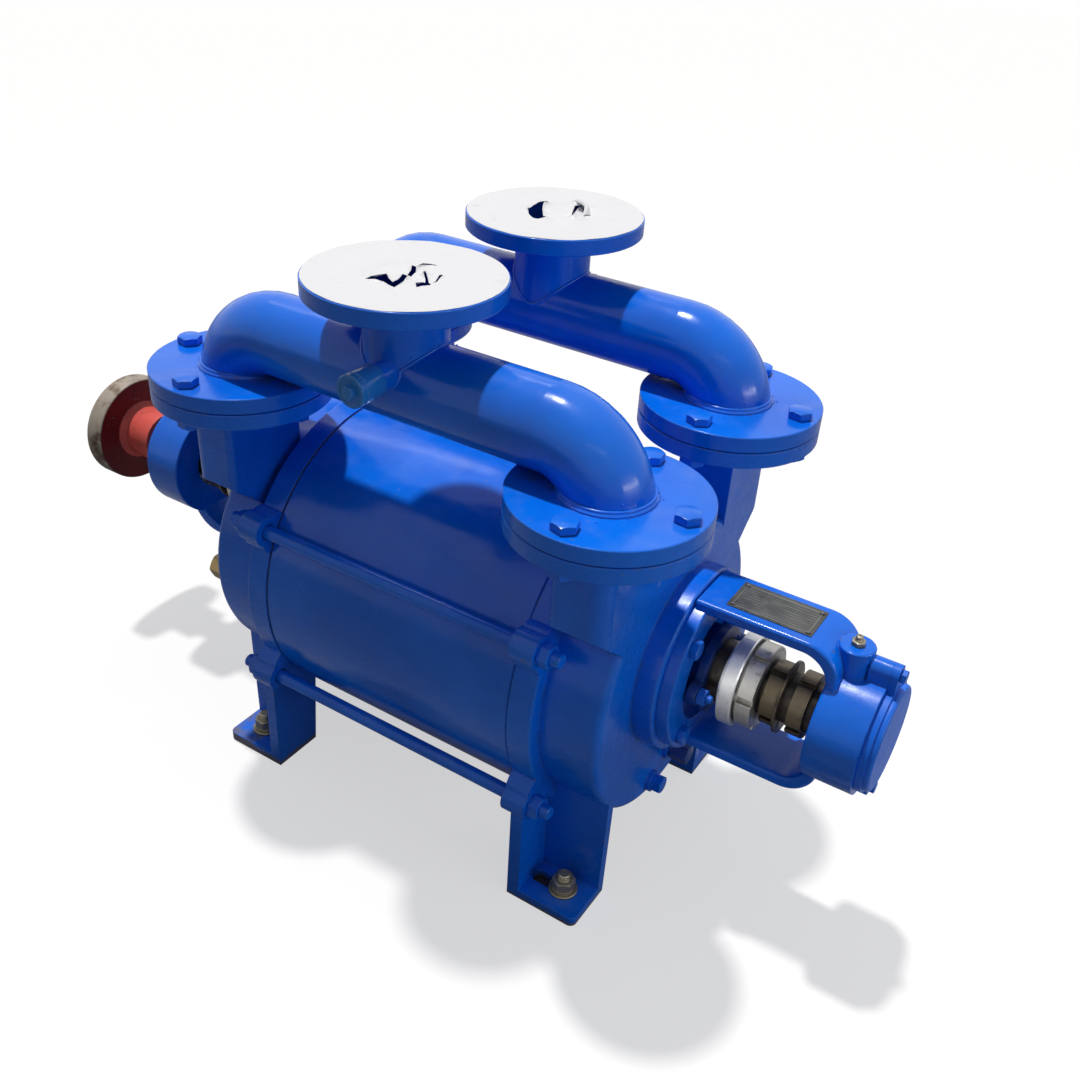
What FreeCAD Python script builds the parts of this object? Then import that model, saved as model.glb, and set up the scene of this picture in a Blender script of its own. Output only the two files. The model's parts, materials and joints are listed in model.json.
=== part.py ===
import FreeCAD, Part
from FreeCAD import Vector
import math
import os

# Liquid ring vacuum pump, millimetres. X runs along the shaft and +X is the
# closed bearing end, -Y is the side with the gauge socket, Z is up and the
# feet stand on Z = 0.

# main levels and sizes
SHAFT_Z = 282.0
ECCENTRIC = 22.0
IMPELLER_R = 143.0
TOP_GAP = 7.0
BODY_WALL = 18.0
BODY_HALF = 170.0
GASKET = 1.0
FIT = 0.05
RUN_GAP = 0.3
BODY_Z = SHAFT_Z - ECCENTRIC
BORE_R = IMPELLER_R + ECCENTRIC + TOP_GAP
BODY_R = BORE_R + BODY_WALL

# shaft steps
SHAFT_NECK_R = 28.0
SLEEVE_STEP = 2.0
SLEEVE_WALL = 6.0
CORE_STEP = 2.5
HUB_WALL = 19.5
KEY_HALF = 8.0
FRONT_SEAT_R = SHAFT_NECK_R - 3.0
REAR_SEAT_R = SHAFT_NECK_R - 0.5
COUPLING_SEAT_R = SHAFT_NECK_R - 4.0
SLEEVE_IN_R = SHAFT_NECK_R + SLEEVE_STEP
SLEEVE_R = SLEEVE_IN_R + SLEEVE_WALL
SHAFT_CORE_R = SLEEVE_IN_R + CORE_STEP
HUB_R = SHAFT_CORE_R + HUB_WALL
CORE_HALF = BODY_HALF - 7.0

# wheel and port plates
BLADE_COUNT = 16
BLADE_T = 6.0
PLATE_T = 10.0
PLATE_SEAT = 8.0
PLATE_R = BORE_R + PLATE_SEAT

# packing, gland and bracket flange
PACKING_T = 11.0
PACKING_W = 10.5
PACKING_RINGS = 4
STUFFING_WALL = 25.0
GLAND_NOSE = 5.0
GLAND_T = 11.0
GLAND_STUD_R = 5.0
BRACKET_RING_W = 35.0
BRACKET_FLANGE_T = 15.0
PACKING_R = SLEEVE_R + PACKING_T
STUFFING_R = PACKING_R + STUFFING_WALL
GLAND_STUD_Y = PACKING_R + GLAND_STUD_R + 3.0
BRACKET_BORE_R = GLAND_STUD_Y + GLAND_STUD_R + 4.0
BRACKET_FLANGE_R = BRACKET_BORE_R + BRACKET_RING_W
BRACKET_BOLT_R = BRACKET_FLANGE_R - 16.0

# covers
RIM_T = 30.0
RIM_EDGE = 1.0
DRUM_STEP = 17.0
DRUM_DEPTH = 71.0
COVER_WALL = 9.0
DIVIDER = 14.0
BOSS_RISE = 25.0
BOSS_EDGE = 8.0
NECK_DROP = 32.0
RIM_X = BODY_HALF + RIM_T
RIM_R = BODY_R + RIM_EDGE
DRUM_R = RIM_R - DRUM_STEP
DRUM_X = RIM_X + DRUM_DEPTH
BOSS_X = DRUM_X + BOSS_RISE
BOSS_R = BRACKET_FLANGE_R + BOSS_EDGE
# plugs in the cover faces: angle, inset from the drum's edge, boss radius, head end
FRONT_PLUGS = ((258.7, 21.0, 13.0, 18.0), (-85.05, 46.5, 15.0, 29.0))
REAR_PLUGS = ((186.4, 30.1, 20.0, 29.0), (-85.05, 46.5, 15.0, 23.0))

# tie rods
ROD_R = 8.0
ROD_GAP = 5.2
ROD_BELOW_NECK = 44.0
ROD_DOWN = 111.0
LUG_R = 18.0
LUG_PAD_R = 26.0
ROD_HOLE_R = ROD_R + 1.0
ROD_UP = DRUM_R - NECK_DROP - ROD_BELOW_NECK
ROD_Y = math.sqrt((BODY_R + ROD_GAP + ROD_R) ** 2 - ROD_UP ** 2)
ROD_LEVELS = (BODY_Z + ROD_UP, BODY_Z - ROD_DOWN)

# feet
LEG_GAP = 8.0
LEG_T = 15.0
LEG_SHOULDER = 80.0
LEG_KNEE = 150.0
WEB_T = 12.0
BASE_T = 12.0
FOOT_LEN = 90.0
FOOT_W = 67.0
FOOT_INSET = 5.0
SLOT_R = 9.0
SLOT_STRAIGHT = 36.0
SLOT_INSET = 33.0
LEG_X = BODY_HALF + LEG_GAP
FOOT_END_X = LEG_X + FOOT_LEN
FOOT_OUT_Y = BODY_R - FOOT_INSET
FOOT_IN_Y = FOOT_OUT_Y - FOOT_W
SLOT_X = LEG_X + LEG_T + SLOT_R + SLOT_STRAIGHT / 2
SLOT_Y = FOOT_OUT_Y - SLOT_INSET

# necks and manifolds
PORT_Y = 133.0
PIPE_R = 44.5
PIPE_WALL = 4.0
BOLT_ROOM = 35.5
FLANGE_EDGE = 20.0
FLANGE_T = 17.5
PORT_HOLE_R = 9.0
PORT_HOLES = 8
NECK_RISE = 66.3
NECK_WALL = 10.0
NECK_EDGE = 9.5
BEND_R = 65.2
BRANCH_RISE = 106.0
BRANCH_X = -3.0
BRANCH_STEP = 1.5
SOCKET_X = 5.0
SOCKET_DZ = 20.0
SOCKET_REACH = 39.5
PORT_PCD_R = PIPE_R + BOLT_ROOM
FLANGE_R = PORT_PCD_R + FLANGE_EDGE
BRANCH_R = PIPE_R - BRANCH_STEP
NECK_X = (RIM_X + DRUM_X) / 2
NECK_BACK_X = RIM_X + 8.0
NECK_OUT_Y = PORT_Y + PIPE_R + NECK_EDGE
NECK_IN_Y = PORT_Y - PIPE_R - NECK_EDGE
NECK_LEDGE_Z = BODY_Z + DRUM_R - NECK_DROP
JOINT_Z = BODY_Z + BODY_R + NECK_RISE
PIPE_Z = JOINT_Z + GASKET / 2 + BEND_R
BRANCH_TOP_Z = PIPE_Z + BRANCH_RISE
SOCKET_Y = PORT_Y + PIPE_R + SOCKET_REACH

# rings and nuts on the shaft, from the sleeve's end outward
GLAND_RUN = 14.0
SLINGER_W = 24.0
SLEEVE_NUT_W = 17.0
NUT_W = 17.0
NUT_GAP = 13.0
WASHER_T = 3.0
GLAND_X = BOSS_X + BRACKET_FLANGE_T + 2.0
SLEEVE_OUT_X = GLAND_X + GLAND_T + GLAND_RUN
SLEEVE_NUT_X = SLEEVE_OUT_X + SLINGER_W
LOCK_NUT_X = SLEEVE_NUT_X + SLEEVE_NUT_W + 5.0
LAST_NUT_X = LOCK_NUT_X + NUT_W + NUT_GAP

# bearings
ROLLER_R = 7.0
ROLLER_COUNT = 12
BEARING_W = 27.0
FRONT_RING_T = 7.4
REAR_RING_T = 9.9
OUTER_RING_T = 8.0
FRONT_BORE_R = FRONT_SEAT_R + FRONT_RING_T + 2 * (ROLLER_R + RUN_GAP) + OUTER_RING_T
REAR_BORE_R = REAR_SEAT_R + REAR_RING_T + 2 * (ROLLER_R + RUN_GAP) + OUTER_RING_T

# bearing brackets
FRONT_HOUSING_WALL = 13.0
REAR_HOUSING_WALL = 15.0
ARM_HALF = 37.0
ARM_T = 14.0
ARM_BEND = 25.0
HOUSING_ROOM = 14.0
HOUSING_LIP = 13.0
CAP_ROOM = 15.0
CAP_T = 8.0
DOME_T = 7.0
EAR_R = 11.0
EAR_RISE = 12.0
NIPPLE_DROP = 5.0
NIPPLE_BOSS_R = 19.0
FRONT_HOUSING_R = FRONT_BORE_R + FRONT_HOUSING_WALL
REAR_HOUSING_R = REAR_BORE_R + REAR_HOUSING_WALL
ARM_TOP = BRACKET_FLANGE_R + 3.0
ARM_LOW = BRACKET_FLANGE_R - 8.0
HOUSING_X = LAST_NUT_X + NUT_W + HOUSING_ROOM
ARM_END_X = HOUSING_X - ARM_BEND
BEARING_X0 = HOUSING_X + HOUSING_LIP
HOUSING_END_X = BEARING_X0 + BEARING_W + CAP_ROOM
SHAFT_END_X = HOUSING_END_X
NIPPLE_X = HOUSING_X + 15.0
NIPPLE_Z = SHAFT_Z + ARM_TOP - NIPPLE_DROP

# coupling half
COUPLING_R = 74.0
COUPLING_T = 28.0
COUPLING_REACH = 98.0
COUPLING_HUB_LEN = 50.0
COUPLING_HUB_WALL = 12.0
COUPLING_HOLE_R = 8.0
COUPLING_HOLES = 6
COUPLING_EDGE = 18.0
COUPLING_KEY_HALF = 7.0
COUPLING_IN_X = -(HOUSING_END_X + COUPLING_REACH)
COUPLING_OUT_X = COUPLING_IN_X - COUPLING_T
COUPLING_HUB_X = COUPLING_IN_X + COUPLING_HUB_LEN
COUPLING_HUB_R = COUPLING_SEAT_R + COUPLING_HUB_WALL
COUPLING_PCD_R = COUPLING_R - COUPLING_EDGE

SIDES = (-1, 1)


def cyl(axis, a, b, r, p=0.0, q=0.0):
    """Cylinder along X, Y or Z from a to b; p and q are its two cross positions."""
    start, direction = {
        "x": (Vector(a, p, q), Vector(1, 0, 0)),
        "y": (Vector(p, a, q), Vector(0, 1, 0)),
        "z": (Vector(p, q, a), Vector(0, 0, 1)),
    }[axis]
    return Part.makeCylinder(r, b - a, start, direction)


def shaft_cyl(a, b, r):
    return cyl("x", a, b, r, 0, SHAFT_Z)


def body_cyl(a, b, r):
    return cyl("x", a, b, r, 0, BODY_Z)


def shaft_ring(a, b, outer, inner):
    return shaft_cyl(a, b, outer).cut(shaft_cyl(a - 1, b + 1, inner))


def box(x0, x1, y0, y1, z0, z1):
    return Part.makeBox(x1 - x0, y1 - y0, z1 - z0, Vector(x0, y0, z0))


def prism(points, direction):
    wire = Part.makePolygon([Vector(*p) for p in points + points[:1]])
    return Part.Face(wire).extrude(Vector(*direction))


def hexagon(axis, a, b, flats, p, q):
    """Hexagonal prism for nuts and bolt heads, from a to b along its axis."""
    r = flats / math.sqrt(3)
    ring = []
    for k in range(6):
        u = p + r * math.cos(math.radians(60 * k))
        v = q + r * math.sin(math.radians(60 * k))
        ring.append({"x": (a, u, v), "y": (u, a, v), "z": (u, v, a)}[axis])
    step = {"x": (b - a, 0, 0), "y": (0, b - a, 0), "z": (0, 0, b - a)}[axis]
    return prism(ring, step)


def joined(shapes):
    shapes = list(shapes)
    return shapes[0].multiFuse(shapes[1:]).removeSplitter()


def flip_x(shape):
    return shape.mirror(Vector(0, 0, 0), Vector(1, 0, 0))


def flip_y(shape):
    return shape.mirror(Vector(0, 0, 0), Vector(0, 1, 0))


def both_ends(shape):
    return [shape, flip_x(shape)]


def both_sides(shape):
    return [shape, flip_y(shape)]


def rounded(shape, radius, wanted):
    """Fillet the edges that the wanted() test picks by their centre and box."""
    edges = [e for e in shape.Edges if wanted(e)]
    return shape.makeFillet(radius, edges) if edges else shape


def bevelled(shape, size, wanted):
    edges = [e for e in shape.Edges if wanted(e)]
    return shape.makeChamfer(size, edges) if edges else shape


def at_x(value):
    """Edge test: the whole edge lies in the plane X = value."""
    def test(edge):
        b = edge.BoundBox
        return abs(b.XMin - value) < 0.01 and abs(b.XMax - value) < 0.01
    return test


def at_z(value):
    def test(edge):
        b = edge.BoundBox
        return abs(b.ZMin - value) < 0.01 and abs(b.ZMax - value) < 0.01
    return test


def save(name, shapes):
    if isinstance(shapes, (list, tuple)):
        solids = []
        for s in shapes:
            solids.extend(s.Solids)
        shape = Part.makeCompound(solids)
    else:
        shape = shapes
        if len(shape.Solids) == 1:
            shape = shape.Solids[0]
    shape.exportStep("parts/%s.step" % name)


def chambers(x0, x1):
    """The two gas rooms of a cover, left and right of its divider wall."""
    room = body_cyl(x0, x1, DRUM_R - COVER_WALL)
    room = room.cut(shaft_cyl(x0 - 1, x1 + 1, STUFFING_R))
    return room.cut(box(x0 - 1, x1 + 1, -DIVIDER / 2, DIVIDER / 2, 0, 2 * BODY_Z))


def body_casing():
    half = BODY_HALF - GASKET / 2
    shell = bevelled(body_cyl(-half, half, BODY_R), 1.5, lambda e: at_x(half)(e) or at_x(-half)(e))
    shell = shell.cut(body_cyl(-half - 1, half + 1, BORE_R))
    for recess in both_ends(body_cyl(half - PLATE_T, half + 1, PLATE_R)):
        shell = shell.cut(recess)
    return shell


def arc_slot(x0, x1, r_in, r_out, start, end):
    """Crescent shaped opening about the shaft, angles from +Y towards +Z."""
    def on(r, deg):
        a = math.radians(deg)
        return Vector(x0, r * math.cos(a), SHAFT_Z + r * math.sin(a))
    mid = (start + end) / 2.0
    cap_r = (r_in + r_out) / 2.0
    turn = math.degrees((r_out - r_in) / 2.0 / cap_r)
    edges = [
        Part.Arc(on(r_out, start), on(r_out, mid), on(r_out, end)).toShape(),
        Part.Arc(on(r_out, end), on(cap_r, end + turn), on(r_in, end)).toShape(),
        Part.Arc(on(r_in, end), on(r_in, mid), on(r_in, start)).toShape(),
        Part.Arc(on(r_in, start), on(cap_r, start - turn), on(r_out, start)).toShape(),
    ]
    return Part.Face(Part.Wire(edges)).extrude(Vector(x1 - x0, 0, 0))


def port_plate():
    """Flat plate with suction crescent, discharge crescent and relief holes."""
    x1 = BODY_HALF - GASKET / 2
    x0 = x1 - PLATE_T
    plate = body_cyl(x0, x1, PLATE_R - FIT).cut(shaft_cyl(x0 - 1, x1 + 1, SLEEVE_R + RUN_GAP))
    inner = STUFFING_R + 8
    plate = plate.cut(arc_slot(x0 - 1, x1 + 1, inner, IMPELLER_R - 27, 118, 232))
    plate = plate.cut(arc_slot(x0 - 1, x1 + 1, inner, inner + 18, 14, 52))
    for k in range(5):
        a = math.radians(-6 - 13 * k)
        y = (inner + 12) * math.cos(a)
        z = SHAFT_Z + (inner + 12) * math.sin(a)
        plate = plate.cut(cyl("x", x0 - 1, x1 + 1, 6, y, z))
    return plate


def cover_gasket():
    x0 = BODY_HALF - GASKET / 2
    disc = body_cyl(x0, x0 + GASKET, BODY_R - 1)
    disc = disc.cut(shaft_cyl(x0 - 1, x0 + 2, SLEEVE_R + 4))
    return disc.cut(chambers(x0 - 1, x0 + GASKET + 1))


def neck_outline(shrink, top):
    """Section of a neck in the YZ plane, for the +Y side, shrunk for the duct."""
    out_y = NECK_OUT_Y - shrink
    in_y = NECK_IN_Y + shrink
    low = NECK_LEDGE_Z + 0.4 * shrink
    return [(in_y, top), (out_y, top), (out_y, low),
            (out_y - 50, low - 43 + 0.3 * shrink), (in_y, low - 43 + 0.3 * shrink)]


def neck():
    top = JOINT_Z - GASKET / 2
    section = [(NECK_BACK_X, y, z) for y, z in neck_outline(0, top)]
    block = prism(section, (DRUM_X - NECK_BACK_X, 0, 0))
    upright = lambda e: e.BoundBox.ZLength > 60 and e.BoundBox.XLength < 0.01 and e.BoundBox.YLength < 0.01
    outer = lambda e: upright(e) and e.BoundBox.YMax > NECK_OUT_Y - 1
    ledge = lambda e: e.BoundBox.XLength > 40 and e.BoundBox.YMin > NECK_OUT_Y - 1
    block = rounded(block, 20, lambda e: outer(e) and e.BoundBox.XMin > DRUM_X - 1)
    block = rounded(block, 8, lambda e: outer(e) and e.BoundBox.XMax < NECK_BACK_X + 1)
    block = rounded(block, 5, lambda e: ledge(e) and e.BoundBox.ZMax < NECK_LEDGE_Z + 5)
    ring = cyl("z", top - FLANGE_T, top, FLANGE_R, NECK_X, PORT_Y)
    return joined([block, bevelled(ring, 1.0, lambda e: abs(e.BoundBox.ZLength) < 0.01)])


def neck_duct():
    x0 = NECK_BACK_X + NECK_WALL
    x1 = DRUM_X - NECK_WALL
    section = [(x0, y, z) for y, z in neck_outline(NECK_WALL, JOINT_Z)]
    return prism(section, (x1 - x0, 0, 0))


def joint_bolt_spots():
    """Bolt places of a neck joint on its pitch circle; the last is under the pipe."""
    return [(NECK_X + PORT_PCD_R, PORT_Y), (NECK_X, PORT_Y + PORT_PCD_R),
            (NECK_X, PORT_Y - PORT_PCD_R), (NECK_X - PORT_PCD_R, PORT_Y)]


def leg():
    """One foot of a cover on the +Y side: leg plate, side web and slotted base."""
    plate = prism([(LEG_X, FOOT_IN_Y, 0), (LEG_X, FOOT_OUT_Y, 0), (LEG_X, FOOT_OUT_Y, ROD_LEVELS[1]),
                   (LEG_X, FOOT_OUT_Y - 10, BODY_Z - LEG_SHOULDER),
                   (LEG_X, FOOT_IN_Y - 18, BODY_Z - LEG_KNEE), (LEG_X, FOOT_IN_Y - 8, BODY_Z - LEG_KNEE)],
                  (LEG_T, 0, 0))
    web_top = BODY_Z - 100
    web = prism([(LEG_X, FOOT_IN_Y, 0), (FOOT_END_X, FOOT_IN_Y, 0), (DRUM_X - 1, FOOT_IN_Y, web_top),
                 (LEG_X, FOOT_IN_Y, web_top)], (0, WEB_T, 0))
    base = box(LEG_X, FOOT_END_X, FOOT_IN_Y, FOOT_OUT_Y, 0, BASE_T)
    base = rounded(base, 8, lambda e: e.BoundBox.ZLength > BASE_T - 1 and e.BoundBox.XMin > FOOT_END_X - 1
                   and e.BoundBox.YMin > FOOT_OUT_Y - 1)
    half = SLOT_STRAIGHT / 2
    slot = joined([cyl("z", -1, BASE_T + 1, SLOT_R, SLOT_X - half, SLOT_Y),
                   cyl("z", -1, BASE_T + 1, SLOT_R, SLOT_X + half, SLOT_Y),
                   box(SLOT_X - half, SLOT_X + half, SLOT_Y - SLOT_R, SLOT_Y + SLOT_R, -1, BASE_T + 1)])
    return joined([plate, web, base]).cut(slot)


def rod_places():
    return [(sy * ROD_Y, z) for sy in SIDES for z in ROD_LEVELS]


def lug(y, z):
    """Tie rod lug: a round end about the rod and a wider pad toward the rim."""
    x0 = BODY_HALF + GASKET / 2
    pad_y = math.copysign(ROD_Y - 16, y)
    pad_z = z + math.copysign(9, BODY_Z - z)
    return joined([cyl("x", x0, RIM_X, LUG_R, y, z), cyl("x", x0, RIM_X, LUG_PAD_R, pad_y, pad_z)])


def plug_place(spot):
    """Y and Z of a plug on the cover's face."""
    reach = DRUM_R - spot[1]
    angle = math.radians(spot[0])
    return reach * math.cos(angle), BODY_Z + reach * math.sin(angle)


def cover(plug_spots):
    """End cover with rim, gas rooms, necks, packing tube, tie rod lugs and feet."""
    x0 = BODY_HALF + GASKET / 2
    rim = rounded(body_cyl(x0, RIM_X, RIM_R), 2.5, at_x(RIM_X))
    drum = rounded(body_cyl(RIM_X - 5, DRUM_X, DRUM_R), 9, at_x(DRUM_X))
    boss = rounded(shaft_cyl(DRUM_X - 5, BOSS_X, BOSS_R), 3, at_x(BOSS_X))
    pieces = [rim, drum, boss] + both_sides(neck()) + both_sides(leg())
    pieces += [lug(y, z) for y, z in rod_places()]
    pieces += [cyl("x", DRUM_X - 5, DRUM_X + 6, spot[2], *plug_place(spot)) for spot in plug_spots]
    shape = joined(pieces)
    shape = shape.cut(chambers(x0 - 1, DRUM_X - COVER_WALL))
    for duct in both_sides(neck_duct()):
        shape = shape.cut(duct)
    throat = BOSS_X - GLAND_NOSE - PACKING_W * PACKING_RINGS
    shape = shape.cut(shaft_cyl(x0 - 1, BOSS_X + 1, SLEEVE_R + RUN_GAP))
    shape = shape.cut(shaft_cyl(throat, BOSS_X + 1, PACKING_R))
    for y, z in rod_places():
        shape = shape.cut(cyl("x", x0 - 1, RIM_X + 1, ROD_HOLE_R, y, z))
    for y, z in bracket_bolt_places():
        shape = shape.cut(cyl("x", DRUM_X + 3, BOSS_X + 1, 6 + FIT, y, z))
    for y in (-GLAND_STUD_Y, GLAND_STUD_Y):
        shape = shape.cut(cyl("x", BOSS_X - 15, BOSS_X + 1, GLAND_STUD_R + FIT, y, SHAFT_Z))
    for spot in plug_spots:
        shape = shape.cut(cyl("x", DRUM_X - COVER_WALL + 2, DRUM_X + 7, 8 + FIT, *plug_place(spot)))
    for x, y in joint_bolt_spots():
        for side in SIDES:
            shape = shape.cut(cyl("z", JOINT_Z - 30, JOINT_Z + 1, PORT_HOLE_R, x, side * y))
    return shape


def bracket_bolt_places():
    reach = BRACKET_BOLT_R * math.sqrt(0.5)
    return [(sy * reach, SHAFT_Z + sz * reach) for sy in SIDES for sz in SIDES]


def plugs(spots):
    """Hexagon plugs screwed into the cover face."""
    made = []
    for spot in spots:
        y, z = plug_place(spot)
        head = hexagon("x", DRUM_X + 6, DRUM_X + spot[3], 1.55 * spot[2], y, z)
        made.append(joined([head, cyl("x", DRUM_X - 5, DRUM_X + 7, 8, y, z)]))
    return made


def flange_disc(z_low, x, holes, turn):
    disc = bevelled(cyl("z", z_low, z_low + FLANGE_T, FLANGE_R, x, PORT_Y), 1.0,
                    lambda e: abs(e.BoundBox.ZLength) < 0.01)
    for k in range(holes):
        a = math.radians(turn + 360.0 * k / holes)
        hx = x + PORT_PCD_R * math.cos(a)
        hy = PORT_Y + PORT_PCD_R * math.sin(a)
        disc = disc.cut(cyl("z", z_low - 1, z_low + FLANGE_T + 1, PORT_HOLE_R, hx, hy))
    return disc


def bridge(r, bottom):
    """Bar of radius r from one neck flange over the level pipe to the other."""
    bend = PIPE_Z - bottom
    run = NECK_X - bend
    reach = bend * math.sqrt(0.5)

    def at(x, z):
        return Vector(x, PORT_Y, z)
    path = Part.Wire([
        Part.Arc(at(-NECK_X, bottom), at(-run - reach, bottom + reach), at(-run, PIPE_Z)).toShape(),
        Part.makeLine(at(-run, PIPE_Z), at(run, PIPE_Z)),
        Part.Arc(at(run, PIPE_Z), at(run + reach, bottom + reach), at(NECK_X, bottom)).toShape(),
    ])
    end = Part.Wire(Part.makeCircle(r, at(-NECK_X, bottom), Vector(0, 0, 1)))
    return path.makePipe(Part.Face(end))


def weld(z0, x):
    """Weld bead that stands on a flange round a pipe end."""
    bead = cyl("z", z0 - 1, z0 + 4, PIPE_R + 4.5, x, PORT_Y)
    return bevelled(bead, 2.5, at_z(z0 + 4))


def manifold(with_socket):
    """Pipe over one side: two bends, level pipe, branch and three flanges."""
    base = JOINT_Z + GASKET / 2
    bore = PIPE_R - PIPE_WALL
    outer = [bridge(PIPE_R, base), cyl("z", PIPE_Z, BRANCH_TOP_Z - 2, BRANCH_R, BRANCH_X, PORT_Y)]
    inner = [bridge(bore, base), cyl("z", PIPE_Z, BRANCH_TOP_Z + 1, BRANCH_R - PIPE_WALL, BRANCH_X, PORT_Y)]
    for side in SIDES:
        outer.append(flange_disc(base, side * NECK_X, 4, 0))
        outer.append(weld(base + FLANGE_T, side * (NECK_X - 2.9)))
    outer.append(flange_disc(BRANCH_TOP_Z - FLANGE_T, BRANCH_X, PORT_HOLES, 22.5))
    low = BRANCH_TOP_Z - FLANGE_T
    outer.append(bevelled(cyl("z", low - 4, low + 1, PIPE_R + 4, BRANCH_X, PORT_Y), 2.5, at_z(low - 4)))
    shape = joined(outer)
    if with_socket:
        z = PIPE_Z + SOCKET_DZ
        shape = joined([shape, cyl("y", PORT_Y + PIPE_R / 2, SOCKET_Y - 22, 15, SOCKET_X, z),
                        cyl("y", SOCKET_Y - 24, SOCKET_Y, 12, SOCKET_X, z)])
        inner.append(cyl("y", PORT_Y + 5, SOCKET_Y + 1, 7, SOCKET_X, z))
    return shape.cut(joined(inner))


def gauge_plug():
    z = PIPE_Z + SOCKET_DZ
    shank = cyl("y", SOCKET_Y - 16, SOCKET_Y + 1, 7 - FIT, SOCKET_X, z)
    return joined([shank, hexagon("y", SOCKET_Y, SOCKET_Y + 12, 19, SOCKET_X, z)])


def neck_gasket():
    ring = cyl("z", JOINT_Z - GASKET / 2, JOINT_Z + GASKET / 2, PORT_PCD_R - 10, NECK_X, PORT_Y)
    return ring.cut(cyl("z", JOINT_Z - 2, JOINT_Z + 2, PIPE_R, NECK_X, PORT_Y))


def neck_bolts():
    """Three through bolts with nuts, and one screwed in from below under the pipe."""
    made = []
    top = JOINT_Z + GASKET / 2 + FLANGE_T
    low = JOINT_Z - GASKET / 2 - FLANGE_T
    spots = joint_bolt_spots()
    for x, y in spots[:-1]:
        head = hexagon("z", top, top + 9, 24, x, y)
        shank = cyl("z", low - 16, top + 1, 8, x, y)
        nut = hexagon("z", low - 12, low, 24, x, y).cut(cyl("z", low - 13, low + 1, 8 + FIT, x, y))
        made += [joined([head, shank]), nut]
    x, y = spots[-1]
    made.append(joined([hexagon("z", low - 9, low, 24, x, y), cyl("z", low - 1, top - 1, 8, x, y)]))
    return made


def tie_rods():
    end = RIM_X + 24
    return [bevelled(cyl("x", -end, end, ROD_R, y, z), 1.0, lambda e: at_x(end)(e) or at_x(-end)(e))
            for y, z in rod_places()]


def tie_rod_nuts():
    made = []
    for y, z in rod_places():
        nut = hexagon("x", RIM_X, RIM_X + 13, 3 * ROD_R, y, z)
        made += both_ends(nut.cut(cyl("x", RIM_X - 1, RIM_X + 14, ROD_R + FIT, y, z)))
    return made


def tangent_arc(at, x, z, dx, drop):
    """Arc that leaves a level line at (x, z) and ends dx further on and drop lower."""
    r = (dx * dx + drop * drop) / (2.0 * drop)
    half = math.atan2(dx, r - drop) / 2.0
    middle = at(x + r * math.sin(half), z - r * (1 - math.cos(half)))
    return Part.Arc(at(x, z), middle, at(x + dx, z - drop)).toShape()


def arm(height, x1, radius):
    """Bracket arm, drawn in the XZ plane: level run, then a round shoulder."""
    x0 = BOSS_X + 2
    inner = height - ARM_T
    outer_end = (x1 + 12, radius - 4)
    inner_end = (x1, radius - 14)

    def at(x, z):
        return Vector(x, -ARM_HALF, z)
    bend = ARM_END_X - 4
    edges = [
        Part.makeLine(at(x0, inner), at(x0, height)),
        Part.makeLine(at(x0, height), at(ARM_END_X, height)),
        tangent_arc(at, ARM_END_X, height, outer_end[0] - ARM_END_X, height - outer_end[1]),
        Part.makeLine(at(*outer_end), at(outer_end[0], inner_end[1])),
        Part.makeLine(at(outer_end[0], inner_end[1]), at(*inner_end)),
        tangent_arc(at, bend, inner, inner_end[0] - bend, inner - inner_end[1]),
        Part.makeLine(at(bend, inner), at(x0, inner)),
    ]
    plate = Part.Face(Part.Wire(edges)).extrude(Vector(0, 2 * ARM_HALF, 0))
    return rounded(plate, 4, lambda e: e.BoundBox.YLength < 0.01 and e.BoundBox.XLength > 60)


def bracket(housing_r, bore_r, lobes):
    """Bearing bracket: flange ring, two arms, open windows and bearing housing."""
    flange = shaft_ring(BOSS_X, BOSS_X + BRACKET_FLANGE_T, BRACKET_FLANGE_R, BRACKET_BORE_R)
    rim = at_x(BOSS_X + BRACKET_FLANGE_T)
    flange = rounded(flange, 2, lambda e: rim(e) and e.BoundBox.ZLength > 2 * BRACKET_BORE_R + 1)
    housing = rounded(shaft_cyl(HOUSING_X, HOUSING_END_X, housing_r), 2, at_x(HOUSING_X))
    place = Vector(0, 0, SHAFT_Z)
    top = arm(ARM_TOP, HOUSING_X, housing_r)
    low = arm(ARM_LOW, HOUSING_X, housing_r).mirror(Vector(0, 0, 0), Vector(0, 0, 1))
    top.translate(place)
    low.translate(place)
    nipple_boss = cyl("z", SHAFT_Z + housing_r - 8, NIPPLE_Z, NIPPLE_BOSS_R, NIPPLE_X, 0)
    nipple_boss = rounded(nipple_boss, 2, at_z(NIPPLE_Z))
    ears = [ear(HOUSING_END_X - 22, HOUSING_END_X, housing_r, z) for _, z in lobes]
    shape = joined([flange, housing, top, low, nipple_boss] + ears)
    shape = shape.cut(shaft_cyl(BEARING_X0, HOUSING_END_X + 1, bore_r))
    shape = shape.cut(shaft_cyl(HOUSING_X - 5, BEARING_X0 + 1, SLEEVE_R))
    shape = shape.cut(cyl("z", SHAFT_Z, NIPPLE_Z + 1, 3, NIPPLE_X, 0))
    for y, z in bracket_bolt_places():
        shape = shape.cut(cyl("x", BOSS_X - 1, BOSS_X + BRACKET_FLANGE_T + 1, 6.5, y, z))
    for y, z in lobes:
        shape = shape.cut(cyl("x", HOUSING_END_X - 15, HOUSING_END_X + 1, 4 + FIT, y, SHAFT_Z + z))
    return shape


def bracket_bolts():
    made = []
    seat = BOSS_X + BRACKET_FLANGE_T
    for y, z in bracket_bolt_places():
        head = hexagon("x", seat, seat + 8, 19, y, z)
        made.append(joined([head, cyl("x", DRUM_X + 5, seat + 1, 6, y, z)]))
    return made


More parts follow.
